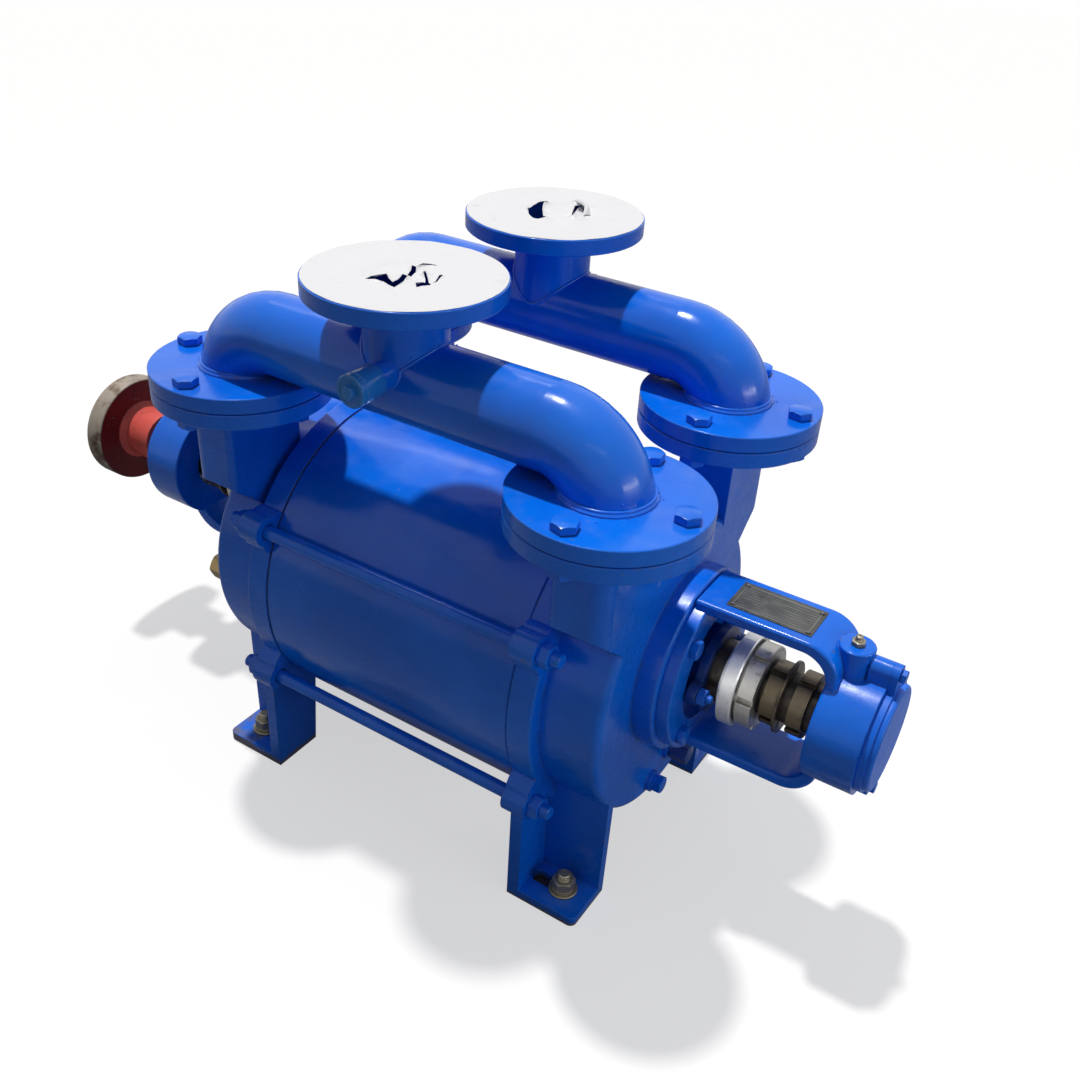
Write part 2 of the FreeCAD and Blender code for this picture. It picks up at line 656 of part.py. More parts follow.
def ear_places(housing_r):
    """The two screw ears of a bearing end cap, above and below the shaft."""
    return [(0.0, housing_r + EAR_RISE), (0.0, -housing_r - 1.0)]


def ear(x0, x1, housing_r, z):
    """Round screw ear at height z from the shaft, on a web from the housing."""
    root = math.copysign(housing_r - 14, z)
    web = box(x0, x1, -EAR_R, EAR_R, SHAFT_Z + min(root, z), SHAFT_Z + max(root, z))
    return joined([cyl("x", x0, x1, EAR_R, 0, SHAFT_Z + z), web])


def packing():
    made = []
    for k in range(PACKING_RINGS):
        x = BOSS_X - GLAND_NOSE - PACKING_W * (k + 1) + 0.5
        made.append(shaft_ring(x, x + PACKING_W - 0.5, PACKING_R - FIT, SLEEVE_R + 0.1))
    return made


def gland():
    """Gland follower: nose in the packing room and an oval flange for two studs."""
    nose = shaft_cyl(BOSS_X - GLAND_NOSE, GLAND_X + 3, PACKING_R - 0.5)
    x0 = GLAND_X
    x1 = GLAND_X + GLAND_T
    oval = joined([shaft_cyl(x0, x1, PACKING_R + 3), cyl("x", x0, x1, 12, -GLAND_STUD_Y, SHAFT_Z),
                   cyl("x", x0, x1, 12, GLAND_STUD_Y, SHAFT_Z)])
    shape = joined([nose, oval]).cut(shaft_cyl(BOSS_X - GLAND_NOSE - 1, x1 + 1, SLEEVE_R + 0.5))
    for y in (-GLAND_STUD_Y, GLAND_STUD_Y):
        shape = shape.cut(cyl("x", x0 - 1, x1 + 1, GLAND_STUD_R + 0.5, y, SHAFT_Z))
    return shape


def gland_studs():
    made = []
    seat = GLAND_X + GLAND_T
    for y in (-GLAND_STUD_Y, GLAND_STUD_Y):
        made.append(cyl("x", BOSS_X - 14, seat + 15, GLAND_STUD_R, y, SHAFT_Z))
        nut = hexagon("x", seat, seat + 9, 3.4 * GLAND_STUD_R, y, SHAFT_Z)
        made.append(nut.cut(cyl("x", seat - 1, seat + 10, GLAND_STUD_R + FIT, y, SHAFT_Z)))
    return made


def outer_ring(bore_r):
    race = bore_r - OUTER_RING_T
    ring = shaft_ring(BEARING_X0, BEARING_X0 + BEARING_W, bore_r - FIT, race)
    ribs = [shaft_ring(BEARING_X0, BEARING_X0 + 4, race + 1, race - 2.5),
            shaft_ring(BEARING_X0 + BEARING_W - 4, BEARING_X0 + BEARING_W, race + 1, race - 2.5)]
    return joined([ring] + ribs)


def inner_ring(bore_r, seat_r):
    race = bore_r - OUTER_RING_T - 2 * (ROLLER_R + RUN_GAP)
    return shaft_ring(BEARING_X0, BEARING_X0 + BEARING_W, race, seat_r + FIT)


def roller_set(bore_r):
    """Bearing cage ring with its rollers, one moving body."""
    pitch = bore_r - OUTER_RING_T - ROLLER_R - RUN_GAP
    mid = BEARING_X0 + BEARING_W / 2
    half = BEARING_W / 2 - 4.5
    cage = shaft_ring(mid - half - 3.5, mid + half + 3.5, pitch + 2, pitch - 2)
    rollers = []
    for k in range(ROLLER_COUNT):
        a = 2 * math.pi * k / ROLLER_COUNT
        y = pitch * math.cos(a)
        z = SHAFT_Z + pitch * math.sin(a)
        cage = cage.cut(cyl("x", mid - half - 0.2, mid + half + 0.2, ROLLER_R + 0.2, y, z))
        rollers.append(cyl("x", mid - half, mid + half, ROLLER_R, y, z))
    return [cage] + rollers


def end_cap(bore_r, housing_r, lobes, shaft_hole):
    """Bearing end cap with a nose against the outer ring; closed or bored."""
    nose_x = BEARING_X0 + BEARING_W
    flange_r = housing_r - 6
    face_x = HOUSING_END_X + CAP_T
    flange = shaft_cyl(HOUSING_END_X, face_x, flange_r)
    ears = [ear(HOUSING_END_X, face_x, housing_r, z) for _, z in lobes]
    shape = joined([flange, shaft_cyl(nose_x, HOUSING_END_X + 1, bore_r - FIT)] + ears)
    if shaft_hole:
        shape = shape.cut(shaft_cyl(nose_x - 1, face_x + 1, shaft_hole))
        shape = shape.cut(shaft_cyl(nose_x - 1, face_x - 4, bore_r - 12))
    else:
        dome_x = face_x + DOME_T
        dome = rounded(shaft_cyl(face_x - 1, dome_x, flange_r - 3), 4, at_x(dome_x))
        shape = joined([shape, dome]).cut(shaft_cyl(nose_x - 1, face_x, bore_r - 12))
    for y, z in lobes:
        shape = shape.cut(cyl("x", HOUSING_END_X - 1, face_x + 1, 4.5, y, SHAFT_Z + z))
    return shape


def cap_screws(lobes):
    made = []
    seat = HOUSING_END_X + CAP_T
    for y, z in lobes:
        head = hexagon("x", seat, seat + 6, 13, y, SHAFT_Z + z)
        made.append(joined([head, cyl("x", HOUSING_END_X - 14, seat + 1, 4, y, SHAFT_Z + z)]))
    return made


def grease_nipple():
    z = NIPPLE_Z
    base = hexagon("z", z, z + 5, 9, NIPPLE_X, 0)
    stem = cyl("z", z - 8, z + 10, 3 - FIT, NIPPLE_X, 0)
    head = Part.makeSphere(3.6, Vector(NIPPLE_X, 0, z + 11))
    return joined([base, stem, head])


def rating_plate():
    """Blank plate on the pad of the closed end bracket, with four rivets."""
    z = SHAFT_Z + ARM_TOP
    x0 = BOSS_X + BRACKET_FLANGE_T + 15
    x1 = ARM_END_X - 1
    half = ARM_HALF - 12
    sheet = box(x0, x1, -half, half, z, z + 1)
    spots = [(x, y) for x in (x0 + 5, x1 - 5) for y in (5 - half, half - 5)]
    made = []
    for x, y in spots:
        sheet = sheet.cut(cyl("z", z - 1, z + 2, 1.7, x, y))
        rivet = joined([cyl("z", z, z + 1.5, 1.7 - FIT, x, y), cyl("z", z + 1, z + 2.2, 3, x, y)])
        made.append(rivet)
    return [sheet] + made


def shaft():
    """Stepped shaft; every step is one turned length."""
    start = COUPLING_OUT_X + 4
    seat_end = -(HOUSING_END_X + 20)
    neck_x = SLEEVE_OUT_X - 2
    steps = [(start, seat_end, COUPLING_SEAT_R), (seat_end, -BEARING_X0, REAR_SEAT_R),
             (-BEARING_X0, -neck_x, SHAFT_NECK_R), (-neck_x, -CORE_HALF, SLEEVE_IN_R),
             (-CORE_HALF, CORE_HALF, SHAFT_CORE_R), (CORE_HALF, neck_x, SLEEVE_IN_R),
             (neck_x, BEARING_X0, SHAFT_NECK_R), (BEARING_X0, SHAFT_END_X, FRONT_SEAT_R)]
    bar = joined([shaft_cyl(a, b, r) for a, b, r in steps])
    bar = bevelled(bar, 2, lambda e: at_x(SHAFT_END_X)(e) or at_x(start)(e))
    for x0, x1, half, top in key_seats():
        bar = bar.cut(box(x0, x1, -half, half, top - 7, top + 1))
    return bar


def key_seats():
    """Ends, half width and top level of the wheel's and the coupling's key seats."""
    reach = BODY_HALF - 40
    return [(-reach, reach, KEY_HALF, SHAFT_Z + SHAFT_CORE_R),
            (COUPLING_OUT_X + 10, COUPLING_HUB_X - 8, COUPLING_KEY_HALF, SHAFT_Z + COUPLING_SEAT_R)]


def keys():
    return [box(x0 + 0.1, x1 - 0.1, FIT - half, half - FIT, top - 6.9, top + 3.4)
            for x0, x1, half, top in key_seats()]


def blade(length):
    """One forward curved vane between hub and rim, from two arcs."""
    def on(r, deg, shift):
        a = math.radians(deg) + shift / r
        return Vector(-length / 2, r * math.cos(a), SHAFT_Z + r * math.sin(a))
    r0, r1, r2 = HUB_R - 3, (HUB_R + IMPELLER_R) / 2, IMPELLER_R
    t = BLADE_T / 2
    edges = [
        Part.Arc(on(r0, 0, -t), on(r1, -6, -t), on(r2, 4, -t)).toShape(),
        Part.Arc(on(r2, 4, -t), on(r2, 4, 0), on(r2, 4, t)).toShape(),
        Part.Arc(on(r2, 4, t), on(r1, -6, t), on(r0, 0, t)).toShape(),
        Part.Arc(on(r0, 0, t), on(r0, 0, 0), on(r0, 0, -t)).toShape(),
    ]
    return Part.Face(Part.Wire(edges)).extrude(Vector(length, 0, 0))


def impeller():
    """Double sided wheel: hub, middle web and curved vanes."""
    half = BODY_HALF - GASKET / 2 - PLATE_T - 1.0
    vane = blade(2 * half)
    centre = Vector(0, 0, SHAFT_Z)
    vanes = []
    for k in range(BLADE_COUNT):
        one = vane.copy()
        one.rotate(centre, Vector(1, 0, 0), 360.0 * k / BLADE_COUNT)
        vanes.append(one)
    wheel = joined([shaft_cyl(-half, half, HUB_R), shaft_cyl(-4, 4, IMPELLER_R)] + vanes)
    wheel = wheel.cut(shaft_cyl(-half - 1, half + 1, SHAFT_CORE_R + FIT))
    top = SHAFT_Z + SHAFT_CORE_R
    return wheel.cut(box(-half - 1, half + 1, -KEY_HALF, KEY_HALF, top - 2, top + 4))


def sleeve():
    return shaft_ring(CORE_HALF + 0.2, SLEEVE_OUT_X, SLEEVE_R, SLEEVE_IN_R + FIT)


def slinger():
    """Stepped ring on the shaft that throws leakage water off."""
    x = SLEEVE_OUT_X
    bore = SHAFT_NECK_R + FIT
    end = x + SLINGER_W
    rim = SHAFT_NECK_R + 25
    ring = joined([shaft_ring(x, x + 6, rim - 11, bore), shaft_ring(x + 5, end - 3, rim, bore),
                   shaft_ring(end - 4, end, rim - 9, bore)])
    return bevelled(ring, 1.5, lambda e: at_x(end - 3)(e) and e.BoundBox.ZLength > 2 * rim - 5)


def slotted_nut(x, width, rim, slots, seat=SHAFT_NECK_R):
    r = seat + rim
    nut = shaft_ring(x, x + width, r, seat + FIT)
    for k in range(slots):
        notch = box(x - 1, x + width + 1, -4, 4, SHAFT_Z + r - 5, SHAFT_Z + r + 2)
        notch.rotate(Vector(0, 0, SHAFT_Z), Vector(1, 0, 0), 360.0 * k / slots + 20)
        nut = nut.cut(notch)
    return nut


def lock_washer():
    """Wide washer behind the first lock nut."""
    x = LOCK_NUT_X + NUT_W
    return shaft_ring(x, x + WASHER_T, SHAFT_NECK_R + 13, SHAFT_NECK_R + FIT)


def coupling_half():
    """Flange coupling half with hub, key slot and a ring of pin holes."""
    x0, x1 = COUPLING_OUT_X, COUPLING_IN_X
    disc = bevelled(shaft_cyl(x0, x1, COUPLING_R), 1.5, lambda e: e.BoundBox.ZLength > 2 * COUPLING_PCD_R)
    hub = shaft_cyl(x1 - 1, COUPLING_HUB_X, COUPLING_HUB_R)
    flare = Part.makeCone(COUPLING_HUB_R + 7, COUPLING_HUB_R, 10, Vector(x1 - 1, 0, SHAFT_Z), Vector(1, 0, 0))
    shape = joined([disc, hub, flare]).cut(shaft_cyl(x0 - 1, COUPLING_HUB_X + 1, COUPLING_SEAT_R + FIT))
    for k in range(COUPLING_HOLES):
        a = 2 * math.pi * (k + 0.5) / COUPLING_HOLES
        y = COUPLING_PCD_R * math.cos(a)
        z = SHAFT_Z + COUPLING_PCD_R * math.sin(a)
        shape = shape.cut(cyl("x", x0 - 1, x1 + 1, COUPLING_HOLE_R, y, z))
    top = SHAFT_Z + COUPLING_SEAT_R
    half = COUPLING_KEY_HALF
    return shape.cut(box(x0 - 1, COUPLING_HUB_X + 1, -half, half, top - 2, top + 3.5))


def build():
    os.makedirs("parts", exist_ok=True)
    front_ears = ear_places(FRONT_HOUSING_R)
    rear_ears = ear_places(REAR_HOUSING_R)

    save("body_casing", body_casing())
    save("front_port_plate", port_plate())
    save("rear_port_plate", flip_x(port_plate()))
    save("cover_gaskets", both_ends(cover_gasket()))
    save("front_cover", cover(FRONT_PLUGS))
    save("rear_cover", flip_x(cover(REAR_PLUGS)))
    save("front_cover_plugs", plugs(FRONT_PLUGS))
    save("rear_cover_plugs", [flip_x(p) for p in plugs(REAR_PLUGS)])
    save("tie_rods", tie_rods())
    save("tie_rod_nuts", tie_rod_nuts())
    save("suction_manifold", flip_y(manifold(True)))
    save("discharge_manifold", manifold(False))
    save("gauge_plug", flip_y(gauge_plug()))
    save("neck_gaskets", [g for e in both_ends(neck_gasket()) for g in both_sides(e)])
    save("neck_bolts", [g for b in neck_bolts() for e in both_ends(b) for g in both_sides(e)])

    save("front_bracket", bracket(FRONT_HOUSING_R, FRONT_BORE_R, front_ears))
    save("rear_bracket", flip_x(bracket(REAR_HOUSING_R, REAR_BORE_R, rear_ears)))
    save("bracket_bolts", [g for b in bracket_bolts() for g in both_ends(b)])
    save("packing_rings", [g for p in packing() for g in both_ends(p)])
    save("glands", both_ends(gland()))
    save("gland_studs", [g for p in gland_studs() for g in both_ends(p)])
    save("front_outer_ring", outer_ring(FRONT_BORE_R))
    save("rear_outer_ring", flip_x(outer_ring(REAR_BORE_R)))
    save("front_end_cap", end_cap(FRONT_BORE_R, FRONT_HOUSING_R, front_ears, None))
    save("rear_end_cap", flip_x(end_cap(REAR_BORE_R, REAR_HOUSING_R, rear_ears, REAR_SEAT_R + 0.5)))
    save("cap_screws", cap_screws(front_ears) + [flip_x(s) for s in cap_screws(rear_ears)])
    save("grease_nipples", both_ends(grease_nipple()))
    save("rating_plate", rating_plate())

    save("shaft", shaft())
    save("shaft_keys", keys())
    save("impeller", impeller())
    save("shaft_sleeves", both_ends(sleeve()))
    save("slinger_rings", both_ends(slinger()))
    save("sleeve_nuts", both_ends(slotted_nut(SLEEVE_NUT_X, SLEEVE_NUT_W, 20, 6)))
    bearing_nut_x = BEARING_X0 + BEARING_W
    save("lock_nuts", [g for x in (LOCK_NUT_X, LAST_NUT_X) for g in both_ends(slotted_nut(x, NUT_W, 8, 4))]
         + [slotted_nut(bearing_nut_x, 10, 9, 4, FRONT_SEAT_R),
            flip_x(slotted_nut(bearing_nut_x, 10, 9, 4, REAR_SEAT_R))])
    save("lock_washers", both_ends(lock_washer()))
    save("front_inner_ring", inner_ring(FRONT_BORE_R, FRONT_SEAT_R))
    save("rear_inner_ring", flip_x(inner_ring(REAR_BORE_R, REAR_SEAT_R)))
    save("front_rollers", roller_set(FRONT_BORE_R))
    save("rear_rollers", [flip_x(s) for s in roller_set(REAR_BORE_R)])
    save("coupling_half", coupling_half())


build()
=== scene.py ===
"""Looks of a liquid ring vacuum pump, dressed round its fixed CAD frame.

Lengths are in metres in the frame's own axes: +X along the shaft toward the closed
bearing end, -Y the side with the gauge plug, +Z up, feet on Z = 0.
"""

import json
import logging
import math
from dataclasses import dataclass, field
from enum import Enum

import bmesh
import bpy
from mathutils import Matrix, Vector
from mathutils.geometry import delaunay_2d_cdt

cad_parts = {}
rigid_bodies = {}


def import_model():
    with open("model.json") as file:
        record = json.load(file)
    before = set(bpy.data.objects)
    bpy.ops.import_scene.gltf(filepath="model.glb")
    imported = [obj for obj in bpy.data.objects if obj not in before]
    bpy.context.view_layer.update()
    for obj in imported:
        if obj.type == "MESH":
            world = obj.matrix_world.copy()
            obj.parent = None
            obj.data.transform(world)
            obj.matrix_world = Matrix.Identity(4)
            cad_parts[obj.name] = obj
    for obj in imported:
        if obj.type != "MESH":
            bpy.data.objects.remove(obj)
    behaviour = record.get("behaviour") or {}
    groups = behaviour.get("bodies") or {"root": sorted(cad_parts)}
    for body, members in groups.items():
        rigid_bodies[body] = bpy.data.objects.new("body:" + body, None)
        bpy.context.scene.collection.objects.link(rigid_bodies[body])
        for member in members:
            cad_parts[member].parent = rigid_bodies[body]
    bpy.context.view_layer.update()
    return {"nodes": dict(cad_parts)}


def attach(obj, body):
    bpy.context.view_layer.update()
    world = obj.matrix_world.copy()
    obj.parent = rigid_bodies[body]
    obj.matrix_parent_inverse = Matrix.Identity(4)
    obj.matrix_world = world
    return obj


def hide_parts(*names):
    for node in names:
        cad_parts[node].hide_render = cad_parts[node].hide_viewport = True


LOG = logging.getLogger("pump")
Colour = tuple[float, float, float]
Point = tuple[float, float, float]
Value = bpy.types.NodeSocket | float | Colour

SHAFT_Z = 0.282
PORT_Y = 0.133
NECK_X = 0.2355
PIPE_Z = 0.582
BRANCH_X = -0.003
BRANCH_TOP = 0.688
FLANGE_TOP = 0.5343
FLANGE_LOW = 0.4983
SOCKET_X = 0.005
SOCKET_Z = 0.602
WHITE = (1.0, 1.0, 1.0)
SIDES = (-1, 1)
CORNERS = [(sx, sy) for sx in SIDES for sy in SIDES]


class Body(Enum):
    """The bodies of the frame that pieces ride on."""

    STATOR = "stator"
    ROTOR = "rotor"


class Slot(Enum):
    """Names of material slots in the record; seat() takes one for each added piece but does not use it."""

    PAINT = "casing_paint"
    BOLT = "bolt_steel"
    STUD = "stud_steel"
    BRASS = "nipple_brass"


# ------------------------------------------------------------------- shader building


class Nodes:
    """A node tree that is built up node by node."""

    def __init__(self, tree: bpy.types.NodeTree) -> None:
        """Start work on a tree."""
        self.tree = tree

    def node(self, kind: str, **settings: object) -> bpy.types.Node:
        """Add a node and set its properties.

        Args:
            kind: the node's type name.
            settings: property values by name.

        Returns:
            The new node.
        """
        made = self.tree.nodes.new(kind)
        for key, value in settings.items():
            setattr(made, key, value)
        return made

    def feed(self, socket: bpy.types.NodeSocket, value: Value) -> None:
        """Link a socket to another, or set it to a plain value.

        Args:
            socket: the input that is fed.
            value: a socket, a number or a colour.
        """
        if isinstance(value, bpy.types.NodeSocket):
            self.tree.links.new(value, socket)
        elif isinstance(value, tuple):
            socket.default_value = (*value, 1.0)
        else:
            socket.default_value = value

    def math(self, work: str, a: Value, b: Value = 0.0) -> bpy.types.NodeSocket:
        """One math node of two values.

        Args:
            work: the operation's name.
            a: the first socket or number.
            b: the second socket or number.

        Returns:
            The result socket.
        """
        made = self.node("ShaderNodeMath", operation=work)
        self.feed(made.inputs[0], a)
        self.feed(made.inputs[1], b)
        return made.outputs[0]


class Shader(Nodes):
    """Builds one node material on object coordinates."""

    def __init__(self, name: str) -> None:
        """Start an empty material with a principled surface.

        Args:
            name: the material's name.
        """
        self.material = bpy.data.materials.new(name)
        self.material.use_nodes = True
        super().__init__(self.material.node_tree)
        self.surface = self.tree.nodes["Principled BSDF"]
        self.place = self.node("ShaderNodeTexCoord").outputs["Object"]

    def noise(self, scale: float, detail: float = 3.0, stretch: Point = (1.0, 1.0, 1.0),
              rough: float = 0.55) -> bpy.types.NodeSocket:
        """A noise field on object coordinates.

        Args:
            scale: cells per metre.
            detail: octaves.
            stretch: scale along each axis.
            rough: how strong the fine octaves are.

        Returns:
            The noise value socket.
        """
        turn = self.node("ShaderNodeMapping")
        self.feed(turn.inputs["Vector"], self.place)
        turn.inputs["Scale"].default_value = stretch
        cells = self.node("ShaderNodeTexNoise")
        self.feed(cells.inputs["Vector"], turn.outputs["Vector"])
        cells.inputs["Scale"].default_value = scale
        cells.inputs["Detail"].default_value = detail
        cells.inputs["Roughness"].default_value = rough
        return cells.outputs["Fac"]

    def band(self, value: Value, low: float, high: float,
             out: tuple[float, float] = (0.0, 1.0)) -> bpy.types.NodeSocket:
        """Map a value from low..high to the out pair, clamped.

        Args:
            value: the socket or number to map.
            low: input at the first output value.
            high: input at the second output value.
            out: the two output values.

        Returns:
            The mapped value socket.
        """
        ramp = self.node("ShaderNodeMapRange", interpolation_type="SMOOTHSTEP")
        self.feed(ramp.inputs["Value"], value)
        for name, number in zip(("From Min", "From Max", "To Min", "To Max"), (low, high, *out)):
            ramp.inputs[name].default_value = number
        return ramp.outputs["Result"]

    def blend(self, amount: Value, a: Value, b: Value) -> bpy.types.NodeSocket:
        """Mix two colours.

        Args:
            amount: share of the second colour.
            a: the first colour.
            b: the second colour.

        Returns:
            The mixed colour socket.
        """
        mix = self.node("ShaderNodeMix", data_type="RGBA")
        self.feed(mix.inputs["Factor"], amount)
        self.feed(mix.inputs[6], a)
        self.feed(mix.inputs[7], b)
        return mix.outputs[2]

    def axis(self, letter: str) -> bpy.types.NodeSocket:
        """One object coordinate.

        Args:
            letter: X, Y or Z.

        Returns:
            The coordinate's socket.
        """
        split = self.node("ShaderNodeSeparateXYZ")
        self.feed(split.inputs[0], self.place)
        return split.outputs[letter]

    def radius_about_shaft(self) -> bpy.types.NodeSocket:
        """Distance of the surface point from the shaft line.

        Returns:
            The distance socket.
        """
        rise = self.math("SUBTRACT", self.axis("Z"), SHAFT_Z)
        squares = self.math("ADD", self.math("MULTIPLY", self.axis("Y"), self.axis("Y")),
                            self.math("MULTIPLY", rise, rise))
        return self.math("SQRT", squares)

    def edge(self, radius: float) -> tuple[bpy.types.NodeSocket, bpy.types.NodeSocket]:
        """Rounded normal and a mask of the sharp edges.

        Args:
            radius: width of the rounding.

        Returns:
            The rounded normal socket and the edge mask socket.
        """
        round_off = self.node("ShaderNodeBevel", samples=6)
        round_off.inputs["Radius"].default_value = radius
        flat = self.node("ShaderNodeNewGeometry").outputs["Normal"]
        agree = self.node("ShaderNodeVectorMath", operation="DOT_PRODUCT")
        self.feed(agree.inputs[0], round_off.outputs["Normal"])
        self.feed(agree.inputs[1], flat)
        return round_off.outputs["Normal"], self.band(agree.outputs["Value"], 0.985, 0.86)

    def crevice(self, reach: float) -> bpy.types.NodeSocket:
        """Mask of corners and gaps that are closed in, from ambient occlusion; the finishes darken it as
        painted shade.

        Args:
            reach: how near the closing walls are.

        Returns:
            The mask socket.
        """
        shade = self.node("ShaderNodeAmbientOcclusion", samples=6)
        shade.inputs["Distance"].default_value = reach
        return self.band(shade.outputs["AO"], 0.75, 0.25)

    def relief(self, layers: list[tuple[bpy.types.NodeSocket, float]],
               normal: bpy.types.NodeSocket | None = None) -> None:
        """Stack bump layers on the surface normal.

        Args:
            layers: height socket and depth in metres for each layer.
            normal: the normal to start from.
        """
        for height, depth in layers:
            bump = self.node("ShaderNodeBump")
            bump.inputs["Distance"].default_value = depth
            bump.inputs["Strength"].default_value = 1.0
            self.feed(bump.inputs["Height"], height)
            if normal is not None:
                self.feed(bump.inputs["Normal"], normal)
            normal = bump.outputs["Normal"]
        self.feed(self.surface.inputs["Normal"], normal)

    def finish(self, colour: Value, rough: Value, metal: Value = 0.0,
               coat: float = 0.0) -> bpy.types.Material:
        """Set the surface's main sockets.

        Args:
            colour: base colour.
            rough: roughness.
            metal: metallic share.
            coat: clear coat weight.

        Returns:
            The finished material.
        """
        self.feed(self.surface.inputs["Base Color"], colour)
        self.feed(self.surface.inputs["Roughness"], rough)
        self.feed(self.surface.inputs["Metallic"], metal)
        self.surface.inputs["Coat Weight"].default_value = coat
        self.surface.inputs["Coat Roughness"].default_value = 0.12
        return self.material


# ------------------------------------------------------------------------ finishes


@dataclass(frozen=True)
class Enamel:
    """Brushed on gloss enamel over rough castings, with chips and dust, and painted shade in corners and
    gaps.
    """

    name: str
    base: Colour = (0.001, 0.158, 0.800)
    deep: Colour = (0.001, 0.122, 0.660)
    under: Colour = (0.10, 0.085, 0.07)
    # near-black colour of the painted shade in corners and gaps
    corner_shade: Colour = (0.035, 0.030, 0.026)
    streak: Colour = (0.03, 0.20, 0.80)
    dusty: Colour = (0.42, 0.45, 0.50)
    rounding: float = 0.0022
    gloss: float = 0.26
    wear: float = 1.0
    shine: float = 0.23
    coat: float = 0.14
    bare_feet: bool = False

    def build(self) -> bpy.types.Material:
        """Make the paint.

        Returns:
            The material.
        """
        s = Shader(self.name)
        normal, edges = s.edge(self.rounding)
        clouds = s.noise(7.0, 4.0)
        brush = s.noise(38.0, 3.0, (0.35, 1.0, 1.0))
        specks = s.noise(420.0, 2.0)
        colour = s.blend(s.band(clouds, 0.35, 0.68), self.base, self.deep)
        colour = s.blend(s.band(brush, 0.62, 0.78, (0.0, 0.16)), colour, self.streak)
        # painted shade: corners and gaps found by ambient occlusion are darkened towards near black, in noisy
        # patches
        corners = s.math("MULTIPLY", s.crevice(0.016), s.band(s.noise(55.0, 4.0), 0.30, 0.70))
        colour = s.blend(s.math("MULTIPLY", corners, 0.55), colour, self.corner_shade)
        chips = s.math("MULTIPLY", edges, s.band(s.noise(90.0, 5.0), 0.60, 0.66))
        chips = s.math("MULTIPLY", chips, self.wear)
        pits = s.math("MULTIPLY", s.band(s.noise(150.0, 2.0), 0.735, 0.76), 0.7 * self.wear)
        bare = s.math("MAXIMUM", chips, pits)
        if self.bare_feet:
            bare = s.math("MAXIMUM", bare, self.sole(s))
        colour = s.blend(bare, colour, self.under)
        up = s.node("ShaderNodeSeparateXYZ")
        s.feed(up.inputs[0], s.node("ShaderNodeNewGeometry").outputs["Normal"])
        dust = s.math("MULTIPLY", s.band(up.outputs["Z"], 0.55, 1.0),
                      s.band(s.noise(24.0, 6.0), 0.45, 0.80))
        colour = s.blend(s.math("MULTIPLY", dust, 0.10), colour, self.dusty)
        rough = s.math("ADD", s.band(brush, 0.3, 0.8, (self.gloss - 0.05, self.gloss + 0.10)),
                       s.math("MULTIPLY", s.math("MAXIMUM", bare, corners), 0.35))
        s.relief([(clouds, 0.0016), (brush, 0.00028), (specks, 0.00004),
                  (s.math("MULTIPLY", bare, -1.0), 0.00016), (s.noise(130.0, 2.0), 0.00010)], normal)
        s.surface.inputs["Specular IOR Level"].default_value = self.shine
        return s.finish(colour, rough, 0.0, self.coat)

    def sole(self, s: Shader) -> bpy.types.NodeSocket:
        """Mask of the bare band round the soles, taller on the rear feet.

        Args:
            s: the shader that gets the nodes.

        Returns:
            The mask socket.
        """
        low = s.math("SUBTRACT", s.axis("Z"), s.math("MULTIPLY", s.noise(60.0, 4.0), 0.010))
        low = s.math("SUBTRACT", low, s.band(s.axis("X"), -0.15, -0.20, (0.0, 0.0045)))
        low = s.math("SUBTRACT", low, s.band(s.axis("X"), -0.212, -0.232, (0.0, 0.0040)))
        return s.math("MULTIPLY", s.band(low, 0.0010, -0.0035), 0.85)


@dataclass(frozen=True)
class BareMetal:
    """Turned, cast or ground metal with tool marks, stains and rust, and painted shade in its hollows."""

    name: str
    base: Colour
    stain: Colour = (0.10, 0.05, 0.025)
    # near-black colour of the painted shade in hollows
    hollow_shade: Colour = (0.018, 0.015, 0.012)
    rust: float = 0.3
    rough: float = 0.36
    metal: float = 0.85
    marks: Point = (6.0, 0.4, 0.4)
    marks_depth: float = 0.00006

    def build(self) -> bpy.types.Material:
        """Make the metal.

        Returns:
            The material.
        """
        s = Shader(self.name)
        normal, edges = s.edge(0.0007)
        turned = s.noise(260.0, 2.0, self.marks)
        spots = s.band(s.noise(48.0, 6.0), 0.66 - 0.26 * self.rust, 0.84 - 0.20 * self.rust)
        worn = s.band(s.noise(18.0, 4.0), 0.35, 0.70)
        dull = tuple(0.62 * c for c in self.base)
        bright = tuple(min(1.0, 1.5 * c) for c in self.base)
        colour = s.blend(s.math("MULTIPLY", worn, 0.45), self.base, dull)
        colour = s.blend(s.math("MULTIPLY", spots, 0.85), colour, self.stain)
        # painted shade: hollows found by ambient occlusion are darkened towards near black
        colour = s.blend(s.math("MULTIPLY", s.crevice(0.010), 0.8), colour, self.hollow_shade)
        colour = s.blend(s.math("MULTIPLY", edges, 0.35), colour, bright)
        rough = s.math("ADD", s.band(turned, 0.2, 0.8, (self.rough - 0.06, self.rough + 0.10)),
                       s.math("MULTIPLY", spots, 0.30))
        metal = s.math("MULTIPLY", s.math("SUBTRACT", 1.0, spots), self.metal)
        s.relief([(turned, self.marks_depth), (spots, 0.00012), (s.noise(700.0, 2.0), 0.00002)], normal)
        return s.finish(colour, rough, metal)


